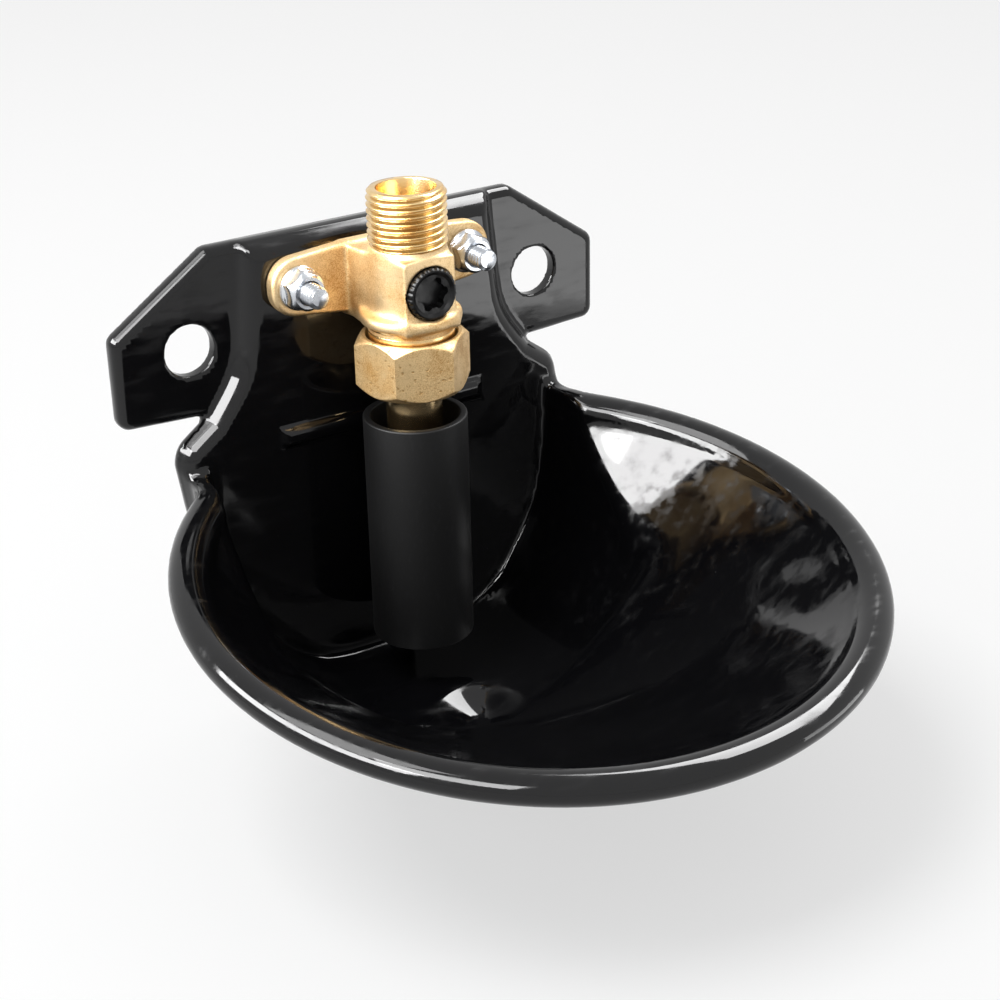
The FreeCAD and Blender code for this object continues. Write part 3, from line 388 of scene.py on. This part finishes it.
TONE_WIDTH, PIT_WIDTH, LATHE_FEED = 8.33, 1.43, 0.2513


def fitting_metal(name, light, dark, polish, grain, relief, lines=0.0, pits=0.0, speckle=0.0):
    """Metal of a light and a dark colour, mixed by broad patches, fine speckle and pits.

    polish is the range of its roughness, grain and relief the width and height of its
    skin's grit in mm.  lines is how strongly the lathe's feed shows (a wave texture runs
    20 times its scale in radians to the metre), and pits how dark the pinholes are.
    """
    made, tree, output = new_finish(name)
    place = add(tree, "ShaderNodeTexCoord").outputs["Object"]
    fine = add(tree, "ShaderNodeTexNoise", {"Vector": place}, Scale=1 / (grain * MM), Detail=3.0)
    broad = add(tree, "ShaderNodeTexNoise", {"Vector": place}, Scale=1 / (TONE_WIDTH * MM), Detail=3.0)
    spots = add(tree, "ShaderNodeTexNoise", {"Vector": place}, Scale=1 / (PIT_WIDTH * MM), Detail=1.0)
    pit = add(tree, "ShaderNodeMapRange", {"Value": spots.outputs["Fac"]},
              From_Min=0.63, From_Max=0.72, To_Min=0.0, To_Max=pits)
    tone = add(tree, "ShaderNodeMapRange", {"Value": broad.outputs["Fac"]}, From_Min=0.35, From_Max=0.75)
    salt = add(tree, "ShaderNodeMapRange", {"Value": fine.outputs["Fac"]},
               From_Min=0.42, From_Max=0.62, To_Min=-speckle, To_Max=speckle)
    shade = add(tree, "ShaderNodeMath", {0: tone.outputs["Result"], 1: salt.outputs["Result"]},
                operation="ADD", use_clamp=True)
    darkest = add(tree, "ShaderNodeMath", {0: shade.outputs[0], 1: pit.outputs["Result"]},
                  operation="MAXIMUM")
    colour = add(tree, "ShaderNodeMix", {0: darkest.outputs[0]},
                 {6: linear(light), 7: linear(dark)}, data_type="RGBA")
    rough = add(tree, "ShaderNodeMapRange", {"Value": broad.outputs["Fac"]},
                From_Min=0.3, From_Max=0.7, To_Min=polish[0], To_Max=polish[1])
    relief_bump = add(tree, "ShaderNodeBump", {"Height": fine.outputs["Fac"]},
                      Strength=0.6, Distance=relief * MM)
    normal = relief_bump.outputs["Normal"]
    if lines:
        cuts = add(tree, "ShaderNodeTexWave", {"Vector": place}, bands_direction="Z",
                   Scale=2 * math.pi / 20 / (LATHE_FEED * MM), Distortion=0.4)
        feed = add(tree, "ShaderNodeBump", {"Height": cuts.outputs["Fac"], "Normal": normal},
                   Strength=lines, Distance=0.02 * MM)
        normal = feed.outputs["Normal"]
    if pits:
        sunk = add(tree, "ShaderNodeBump", {"Height": pit.outputs["Result"], "Normal": normal},
                   Strength=0.5, Distance=-0.1 * MM)
        normal = sunk.outputs["Normal"]
    skin = add(tree, "ShaderNodeBsdfPrincipled",
               {"Normal": normal, "Roughness": rough.outputs["Result"],
                "Base Color": colour.outputs[2]}, Metallic=1.0)
    tree.links.new(skin.outputs["BSDF"], output.inputs["Surface"])
    return made


# Sand-cast brass keeps the sand's grain: to the eye it is satin, warm and finely mottled.
CAST_BRASS = fitting_metal("sand_cast_brass", "#dcc195", "#a98450", (0.42, 0.56), 0.3, 0.12,
                           pits=0.4, speckle=0.3)
valve = cast_skin("valve_body_cast", brass_casting, (-35, -41, -5.5), (35, -6.5, 26), 0.45)
valve.data.materials.append(CAST_BRASS)
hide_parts("valve_body")
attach(valve, "root")

# Inlet: half-inch pipe thread cut in the lathe on the body's own brass spigot, with a
# chamfered mouth, where the water pipe is screwed on.
PIPE_PITCH = 1.814
SPIGOT_FOOT, SPIGOT_TOP = 23.4, 39.4
THREAD_ROOT, THREAD_DEPTH = 9.3, 1.17


def lathe_skin(name, blocks, finish, node, body, sharp=32):
    """One object from grids of points in mm, each closed round its columns.

    A block is its points and whether it is a ring.  In a ring the last row joins the
    first; else the first and last rows are single points, closed by a fan each.  A
    block whose signed volume is negative is turned right side out.
    """
    points, faces, start = [], [], 0
    for p, ring in blocks:
        rows, columns = p.shape[:2]
        if ring:
            here = p.reshape(-1, 3)
            index = np.arange(rows * columns).reshape(rows, columns)
            low, high = index, np.roll(index, -1, axis=0)
        else:
            here = np.concatenate([p[0, :1], p[1:-1].reshape(-1, 3), p[-1, :1]])
            index = 1 + np.arange((rows - 2) * columns).reshape(rows - 2, columns)
            low, high = index[:-1], index[1:]
        quads = np.stack([low, np.roll(low, -1, axis=1), np.roll(high, -1, axis=1), high], axis=2)
        quads = quads.reshape(-1, 4)
        fans = np.empty((0, 3), int)
        if not ring:
            near, far = np.zeros(columns, int), np.full(columns, len(here) - 1)
            fans = np.concatenate([np.stack([near, np.roll(index[0], -1), index[0]], axis=1),
                                   np.stack([far, index[-1], np.roll(index[-1], -1)], axis=1)])
        triangles = np.concatenate([quads[:, :3], quads[:, [0, 2, 3]], fans])
        a, b, c = here[triangles].transpose(1, 0, 2)
        if (a * np.cross(b, c)).sum() < 0:
            quads, fans = quads[:, ::-1], fans[:, ::-1]
        points.append(here)
        faces += (quads + start).tolist() + (fans + start).tolist()
        start += len(here)
    mesh = bpy.data.meshes.new(name)
    mesh.from_pydata((np.concatenate(points) * MM).tolist(), [], faces)
    mesh.shade_smooth()
    mesh.set_sharp_from_angle(angle=math.radians(sharp))
    mesh.materials.append(finish)
    piece = bpy.data.objects.new(name, mesh)
    bpy.context.scene.collection.objects.link(piece)
    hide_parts(node)
    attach(piece, body)
    return piece


def turned(profile, columns, vary, place, start=0.0):
    """A profile of radius and height turned about an axis, one column for each angle.

    vary gives the radius from angle, radius and height, or is None for a plain
    turning; place moves the points from their own axis to where they belong.
    """
    angle = np.linspace(0, 2 * math.pi, columns, endpoint=False)[None, :] + start
    radius, along = profile[:, 0][:, None], profile[:, 1][:, None]
    if vary is None:
        radius = np.broadcast_to(radius, (len(profile), columns))
    else:
        radius = vary(angle, radius, along)
    along = np.broadcast_to(along, radius.shape)
    return place(np.stack([radius * np.cos(angle), radius * np.sin(angle), along], axis=2))


def upright(p):
    """From a piece's own axis to the valve's upright one."""
    return p + np.array([0, VALVE_Y, 0])


def ridge(angle, along, pitch):
    """A right-hand thread: 0 at the root, 1 at the crest, straight flanks, narrow flats."""
    phase = (along / pitch - angle / (2 * math.pi)) % 1
    return np.clip(np.abs(phase - 0.5) * 2.5 - 0.12, 0, 1)


def inlet_radius(angle, radius, along):
    """The thread, faded in over 0.6 at the foot and cut by the chamfer of the mouth."""
    thread = THREAD_DEPTH * ridge(angle, along, PIPE_PITCH)
    cut = THREAD_ROOT + thread * np.clip((along - SPIGOT_FOOT - 0.8) / 0.6, 0, 1)
    cut = np.minimum(cut, THREAD_ROOT + THREAD_DEPTH - np.clip(along - SPIGOT_TOP + 1, 0, None) * 0.95)
    return np.where(radius > 9, cut, radius + 0 * angle)


# Brass cut by a threading tool: to the eye bright and smooth, with fine lines round it.
THREAD_BRASS = fitting_metal("cut_brass_thread", "#e8cc98", "#c09a60", (0.18, 0.28), 0.5, 0.01, lines=0.3)
spigot = [(9.5, z) for z in np.arange(SPIGOT_FOOT, SPIGOT_TOP - 0.05, PIPE_PITCH / 16)]
spigot += [(9.5, SPIGOT_TOP), (7.9, SPIGOT_TOP), (7.77, SPIGOT_TOP - 0.3), (7.77, SPIGOT_FOOT)]
lathe_skin("inlet_thread", [(turned(np.array(spigot), 120, inlet_radius, upright), True)],
           THREAD_BRASS, "valve_body", "root", 60)


# Neck: the lower end of the brass body, turned with a tool groove under its collar,
# going down into the union nut.
def eased(corners, reach):
    """A closed profile, each corner replaced by a parabola in four steps of that reach."""
    corners = np.array(corners, float)
    out = []
    for k, corner in enumerate(corners):
        back, on = corners[k - 1] - corner, corners[(k + 1) % len(corners)] - corner
        back_length, on_length = math.hypot(*back), math.hypot(*on)
        a = corner + back / back_length * min(reach, back_length * 0.45)
        b = corner + on / on_length * min(reach, on_length * 0.45)
        for t in (0, 0.25, 0.5, 0.75, 1):
            out.append((1 - t) ** 2 * a + 2 * t * (1 - t) * corner + t * t * b)
    return np.array(out)


NECK_RADIUS, GROOVE_RADIUS, NECK_INSIDE, NECK_END = 11.5, 11.1, 10.2, 3.9
neck = eased([(NECK_INSIDE, -NECK_END), (NECK_RADIUS, -NECK_END), (NECK_RADIUS, 1.6),
              (GROOVE_RADIUS, 1.9), (GROOVE_RADIUS, 2.3), (NECK_RADIUS, 2.6),
              (NECK_RADIUS, NECK_END), (NECK_INSIDE, NECK_END)], 0.25)
lathe_skin("outlet_neck", [(turned(neck, 120, None, upright), True)],
           THREAD_BRASS, "valve_body", "root")

# Union nut: hexagon of brass bar, both ends chamfered round in the lathe and the whole
# tumbled; screwed up the neck, it holds the pipe's head.
UNION_FLATS, UNION_TURN = 27, math.radians(12.3)
UNION_FOOT, UNION_TOP = -15, 0.3


def hexagon(angle, flats, turn):
    """Distance from axis to side: half the flats over the cosine of the angle from its middle."""
    within = (angle - turn + math.pi / 6) % (math.pi / 3) - math.pi / 6
    return flats / 2 / np.cos(within)


def union_radius(angle, radius, along):
    """The hexagon outside, cut by a cone that rises 1.1 for each 1 from either end."""
    side = hexagon(angle, UNION_FLATS, UNION_TURN)
    from_end = (UNION_TOP - UNION_FOOT) / 2 - np.abs(along - (UNION_TOP + UNION_FOOT) / 2)
    return np.where(radius > 13, np.minimum(side, 13.2 + from_end * 1.1), radius + 0 * angle)


# Tumbled brass has dented grit all over: to the eye dull gold, speckled with dark pinholes.
NUT_BRASS = fitting_metal("tumbled_brass", "#d6b98a", "#9a7643", (0.42, 0.58), 0.28, 0.12,
                          pits=0.8, speckle=0.3)
ends = np.linspace(0, 2.6, 27)
union = [(13.5, z) for z in [*(UNION_FOOT + ends), -9, -6, *(UNION_TOP - ends[::-1])]]
union += [(12.4, UNION_TOP), (12.2, 0.0), (12.2, -12.4), (9.5, -12.6), (9.4, -14.9), (9.6, UNION_FOOT)]
lathe_skin("union_nut_turned", [(turned(np.array(union), 144, union_radius, upright, UNION_TURN), True)],
           NUT_BRASS, "union_nut", "root", 28)

# Drinking pipe: drawn brass tube with a shouldered head, which hangs and rocks in the
# union nut.  Drawn brass is polished, to the eye nearly a mirror; its colour is set paler
# than the other brass as painted light, to lift the pipe out of the shade it hangs in.
PIPE_BRASS_PAINTED_LIGHT = fitting_metal("drawn_brass_painted_light", "#f0d6a6", "#cfa871", (0.14, 0.22), 0.6, 0.01, lines=0.2)
PIPE_BORE, PIPE_RADIUS, PIPE_FOOT = 5.7, 7.5, -62
pipe_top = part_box("drinking_pipe")[1][2] / MM
pipe = eased([(PIPE_BORE, PIPE_FOOT), (PIPE_RADIUS, PIPE_FOOT), (PIPE_RADIUS, -10.4), (9.2, -9.6),
              (9.4, -8), (9.0, -6.4), (7.4, pipe_top), (PIPE_BORE, pipe_top)], 0.5)
lathe_skin("drinking_pipe_drawn", [(turned(pipe, 96, None, upright), True)],
           PIPE_BRASS_PAINTED_LIGHT, "drinking_pipe", "pipe")

# Hose: a short sleeve of thick black rubber, cut square at both ends and pushed over
# the carrier on the pipe; the animal nudges it.
HOSE_BORE, HOSE_RADIUS, HOSE_FOOT, HOSE_TOP = 12.0, 14.05, -88, -22.9
SCUFF_WIDTH, GRIT_WIDTH = 1.11, 0.667


def scuffed_black(name, light, roughness):
    """Dark, dull rubber or plastic: scuffs drawn out upwards lighten it, over fine grit."""
    made, tree, output = new_finish(name)
    place = add(tree, "ShaderNodeTexCoord").outputs["Object"]
    drawn = add(tree, "ShaderNodeMapping", {"Vector": place}, Scale=(1.0, 1.0, 0.4))
    scuff = add(tree, "ShaderNodeTexNoise", {"Vector": drawn.outputs["Vector"]},
                Scale=1 / (SCUFF_WIDTH * MM), Detail=4.0)
    worn = add(tree, "ShaderNodeMapRange", {"Value": scuff.outputs["Fac"]}, From_Min=0.58, From_Max=0.82)
    colour = add(tree, "ShaderNodeMix", {0: worn.outputs["Result"]},
                 {6: linear("#070708"), 7: linear(light)}, data_type="RGBA")
    grit = add(tree, "ShaderNodeTexNoise", {"Vector": place}, Scale=1 / (GRIT_WIDTH * MM), Detail=2.0)
    bump = add(tree, "ShaderNodeBump", {"Height": grit.outputs["Fac"]}, Strength=0.5, Distance=0.05 * MM)
    matt = add(tree, "ShaderNodeBsdfPrincipled",
               {"Normal": bump.outputs["Normal"], "Base Color": colour.outputs[2]},
               Roughness=roughness, IOR=1.33)
    tree.links.new(matt.outputs["BSDF"], output.inputs["Surface"])
    return made


# Extruded hose rubber: to the eye soft black, with a broad weak sheen down its side.
HOSE_RUBBER = scuffed_black("black_hose_rubber", "#161618", 0.5)
hose = eased([(HOSE_BORE, HOSE_FOOT), (HOSE_RADIUS, HOSE_FOOT), (HOSE_RADIUS, HOSE_TOP),
              (HOSE_BORE, HOSE_TOP)], 0.5)
lathe_skin("hose_sleeve", [(turned(hose, 128, None, upright), True)],
           HOSE_RUBBER, "water_hose", "pipe")

# Regulator plug: screw of black moulded acetal in the front of the body, with a notched
# rim, a bevelled ring and a six-pointed socket; turning it sets the flow.
NOTCHES, STAR_RADIUS = 26, 4.1


def facing(x, z):
    """From a piece's own axis to one straight out of the back plate at x and z."""
    return lambda p: np.stack([p[..., 0] + x, -p[..., 2], p[..., 1] + z], axis=-1)


def plug_radius(angle, radius, along):
    """Notched by a clipped cosine round the head, a rounded star in the socket, else as turned."""
    head = (along > 35.2) * (along < 37.7)
    notched = radius - 0.28 * np.clip(np.cos(angle * NOTCHES) + 0.2, 0, 1) * head
    star = STAR_RADIUS + 0.42 * np.clip(np.cos(6 * angle - 0.5) * 1.6, -1, 1)
    socket = (radius > 4.0) & (radius < 4.2)
    return np.where(radius > 6.8, notched, np.where(socket, star, radius + 0 * angle))


# Moulded acetal: to the eye black and waxy, glossier than the hose.
ACETAL = scuffed_black("black_moulded_acetal", "#1c1c20", 0.3)
plug = np.array([(0, 28.2), (6.4, 28.2), (6.6, 28.5), (6.6, 34.8), (7.0, 35.1), (7.0, 37.2), (6.9, 37.5),
                 (6.5, 37.9), (6.1, 38.0), (5.7, 37.7), (5.2, 37.3), (4.1, 37.2), (4.09, 34.5),
                 (2.0, 34.4), (0, 34.3)])
lathe_skin("regulator_plug_moulded", [(turned(plug, 234, plug_radius, facing(0, PLUG_Z)), False)],
           ACETAL, "regulator_plug", "regulator", 28)

# Clamp bolts: two M6 steel bolts, zinc plated, put through the pad and the ears from
# behind; their ends show a thread, drawn coarser than the real 1.0 so that it shows.
BOLT_FLATS, BOLT_RADIUS, BOLT_END, BOLT_PITCH = 10, 2.98, 24, 1.25
SIDES = [facing(-CLAMP_X, CLAMP_Z), facing(CLAMP_X, CLAMP_Z)]


def bolt_radius(angle, radius, along):
    """Hexagon head with a rounded edge, then a plain shank, then the thread and its point."""
    rounded = 5.6 - np.clip(0.5 - along, 0, None) + 0 * angle
    head = smooth_min(hexagon(angle, BOLT_FLATS, 0.14), rounded, 0.3)
    thread = BOLT_RADIUS - 0.65 * (1 - ridge(angle, along, BOLT_PITCH))
    thread = thread - np.clip(along - BOLT_END + 0.6, 0, None) * 0.6
    shank = np.where(along > 14, thread, radius + 0 * angle)
    return np.where(radius == 0, 0, np.where(radius > 4, head, shank))


# Bright zinc plate: to the eye bluish white, a soft mirror with slight cloudiness.
ZINC = fitting_metal("bright_zinc_plate", "#cdd0d4", "#8d9198", (0.2, 0.32), 0.4, 0.01)
bolt = [(0, 0), (5, 0), (5, 0.5), (5, 3.8), (5, 4), (BOLT_RADIUS, 4.02)]
bolt += [(BOLT_RADIUS, d) for d in np.arange(14, BOLT_END, 1 / 12)]
bolt += [(BOLT_RADIUS, BOLT_END), (0, BOLT_END)]
lathe_skin("clamp_bolts_plated", [(turned(np.array(bolt), 72, bolt_radius, side), False) for side in SIDES],
           ZINC, "clamp_bolts", "root", 40)

# Clamp washers: round steel washers, stamped and zinc plated, under the nuts.
WASHER_BORE, WASHER_RADIUS, WASHER_BACK, WASHER_FRONT = 3.2, 6.0, 12.8, 13.75
washer = eased([(WASHER_BORE, WASHER_BACK), (WASHER_RADIUS, WASHER_BACK), (WASHER_RADIUS, WASHER_FRONT),
                (WASHER_BORE, WASHER_FRONT)], 0.2)
lathe_skin("clamp_washers_plated", [(turned(washer, 72, None, side), True) for side in SIDES],
           ZINC, "clamp_washers", "root")

# Clamp nuts: flanged hexagon nuts of zinc-plated steel, their tops rounded off to a
# dome; they pull the valve's ears down on the pad.
NUT_FLATS, NUT_TURN, NUT_BACK, NUT_FRONT = 10, math.radians(8), 13.77, 18.75
FLANGE_RADIUS, DOME_RADIUS, DOME_START = 5.9, 5.75, 15.6


def nut_radius(angle, radius, along):
    """The larger of a flange that tapers off and a hexagon under an elliptical dome."""
    side = hexagon(angle, NUT_FLATS, NUT_TURN)
    rise = np.clip(along - DOME_START, 0, None) * 1.25
    dome = np.sqrt(np.clip(DOME_RADIUS ** 2 - rise ** 2, 0, None)) + 0 * angle
    body = np.minimum(smooth_min(side, dome, 0.4), 5.77)
    flange = FLANGE_RADIUS - np.clip(along - 14.1, 0, None) * 1.2
    return np.where(radius > 4, np.maximum(body, flange), radius + 0 * angle)


nut = [(5, d) for d in np.linspace(NUT_BACK, NUT_FRONT, 26)]
nut += [(3.4, NUT_FRONT), (3.06, 18.4), (3.06, 14.1), (3.3, NUT_BACK)]
lathe_skin("clamp_nuts_plated",
           [(turned(np.array(nut), 144, nut_radius, side, NUT_TURN), True) for side in SIDES],
           ZINC, "clamp_nuts", "root", 40)

# Pieces inside the valve, and the carrier in the hose: turned brass, stainless wire,
# black acetal and soft seal rings, stacked in the bore.  They keep their CAD shape.
INNER = ["inlet_strainer", "return_spring", "valve_poppet", "poppet_seal", "seat_nozzle", "seat_o_ring",
         "stem_guide", "regulator_o_ring", "pipe_cushion_ring", "pipe_seat_ring", "hose_carrier"]
# Stainless wire is to the eye grey and half bright, and seal rubber a dull greyish black.
INNER_FINISH = {
    # The pipe's brass, made paler as painted light, also goes on the hidden turned brass pieces.
    "turned_brass": PIPE_BRASS_PAINTED_LIGHT,
    "steel_mesh": fitting_metal("stainless_wire", "#d6d6d4", "#96989c", (0.22, 0.36), 0.4, 0.01),
    "moulded_plastic": ACETAL,
    "seal_rubber": scuffed_black("seal_rubber", "#222224", 0.5),
}
slots = {part["node"]: part["material_slot"] for part in frame["record"]["subparts"]}
for name in INNER:
    node = frame["nodes"][name]
    node.data.materials.clear()
    node.data.materials.append(INNER_FINISH[slots[name]])

# Studio: white paper under the bowl, just below its lowest point, before a white
# background; both are white to the eye and in reflections, and light the bowl less.
PAPER_HALF, PAPER_HEIGHT, PAPER_GLOW, WORLD_LIGHT = 3, -0.1102, 0.6, 0.5


def seen_directly(tree):
    """1 for camera, glossy and transmission rays, 0 for the rest: their clamped sum."""
    ray = add(tree, "ShaderNodeLightPath")
    eye_or_mirror = add(tree, "ShaderNodeMath", {0: ray.outputs["Is Camera Ray"],
                                                 1: ray.outputs["Is Glossy Ray"]},
                        operation="ADD", use_clamp=True)
    return add(tree, "ShaderNodeMath", {0: eye_or_mirror.outputs[0],
                                        1: ray.outputs["Is Transmission Ray"]},
               operation="ADD", use_clamp=True).outputs[0]


paper_mesh = bpy.data.meshes.new("floor")
paper_mesh.from_pydata([(x * PAPER_HALF, y * PAPER_HALF, PAPER_HEIGHT)
                        for x, y in ((-1, -1), (1, -1), (1, 1), (-1, 1))], [], [(0, 1, 2, 3)])
floor = bpy.data.objects.new("floor", paper_mesh)
bpy.context.scene.collection.objects.link(floor)
paper, paper_tree, paper_output = new_finish("white_paper")
matt_white = add(paper_tree, "ShaderNodeBsdfPrincipled", Base_Color=linear("#f4f4f4"), Roughness=0.9)
glow = add(paper_tree, "ShaderNodeEmission", Color=(1, 1, 1, 1), Strength=1.0)
part_glow = add(paper_tree, "ShaderNodeMath", {0: seen_directly(paper_tree)}, {1: PAPER_GLOW},
                operation="MULTIPLY")
paper_mix = add(paper_tree, "ShaderNodeMixShader",
                {"Fac": part_glow.outputs[0], 1: matt_white.outputs["BSDF"], 2: glow.outputs[0]})
paper_tree.links.new(paper_mix.outputs[0], paper_output.inputs["Surface"])
paper_mesh.materials.append(paper)

world = bpy.data.worlds.new("studio")
bpy.context.scene.world = world
world.use_nodes = True
sky = world.node_tree
sky.nodes.clear()
soft = add(sky, "ShaderNodeBackground", Color=(1, 1, 1, 1), Strength=WORLD_LIGHT)
white = add(sky, "ShaderNodeBackground", Color=(1, 1, 1, 1), Strength=1.0)
sky_mix = add(sky, "ShaderNodeMixShader",
              {"Fac": seen_directly(sky), 1: soft.outputs[0], 2: white.outputs[0]})
add(sky, "ShaderNodeOutputWorld", {"Surface": sky_mix.outputs[0]})

# Lamps: soft rectangles round the bowl, in metres and watts.  The key lights all; the
# softboxes and the low card, which brightens the hanging pipe, show in gloss only.
BOWL_MIDDLE = (0, -0.06, -0.03)


def panel(name, place, aim, width, height, power):
    """A rectangular lamp at a place, its back on the line from the aim through the place."""
    lamp = bpy.data.lights.new(name, "AREA")
    lamp.shape = "RECTANGLE"
    lamp.size = width
    lamp.size_y = height
    lamp.energy = power
    holder = bpy.data.objects.new(name, lamp)
    bpy.context.scene.collection.objects.link(holder)
    away = np.array(place) - np.array(aim)
    away = away / np.linalg.norm(away)
    side = np.cross((0, 0, 1), away)
    side = side / np.linalg.norm(side)
    turn = Matrix([list(row) for row in np.stack([side, np.cross(away, side), away], axis=1)]).to_4x4()
    holder.matrix_world = Matrix.Translation(place) @ turn
    holder.visible_camera = False
    return holder


def towards(azimuth, elevation, far):
    """A place that far from the bowl's middle: azimuth from +Y towards +X, in degrees."""
    turn_by, lift = math.radians(azimuth), math.radians(elevation)
    return (BOWL_MIDDLE[0] + far * math.sin(turn_by) * math.cos(lift),
            BOWL_MIDDLE[1] + far * math.cos(turn_by) * math.cos(lift),
            BOWL_MIDDLE[2] + far * math.sin(lift))


panel("key_panel", towards(-80, 62, 1.5), BOWL_MIDDLE, 0.8, 0.8, 15)
GLOSS_ONLY = [
    ("front_left_softbox", towards(-128, 46, 1.4), BOWL_MIDDLE, 0.8, 0.6, 24),
    ("left_softbox", towards(-84, 31, 1.4), BOWL_MIDDLE, 1.7, 0.6, 84),
    ("right_softbox", towards(82, 52, 1.4), BOWL_MIDDLE, 0.9, 0.5, 24),
    ("low_right_card", (0.20, -0.245, -0.09), (0.06, 0, 0.005), 0.13, 0.1, 0.15),
]
for lamp_values in GLOSS_ONLY:
    panel(*lamp_values).visible_diffuse = False

# Camera: where the photograph was taken from, with its slight roll.
EYE = np.array([-248.59, -452.26, 183.43]) * MM
YAW, PITCH, ROLL = math.radians(32.81), math.radians(25.27), math.radians(-1.28)
SENSOR, LENS_PER_SENSOR = 36, 1.9962
ahead = np.array([math.sin(YAW) * math.cos(PITCH), math.cos(YAW) * math.cos(PITCH), -math.sin(PITCH)])
level = np.array([math.cos(YAW), -math.sin(YAW), 0.0])
above = np.cross(level, ahead)
right = math.cos(ROLL) * level + math.sin(ROLL) * above
upward = math.cos(ROLL) * above - math.sin(ROLL) * level
camera_data = bpy.data.cameras.new("camera")
camera_data.lens = SENSOR * LENS_PER_SENSOR
camera_data.sensor_width = SENSOR
camera = bpy.data.objects.new("camera", camera_data)
bpy.context.scene.collection.objects.link(camera)
turn = Matrix([list(row) for row in np.stack([right, upward, -ahead], axis=1)]).to_4x4()
camera.matrix_world = Matrix.Translation(EYE) @ turn
bpy.context.scene.camera = camera
bpy.context.scene.view_settings.view_transform = "Standard"
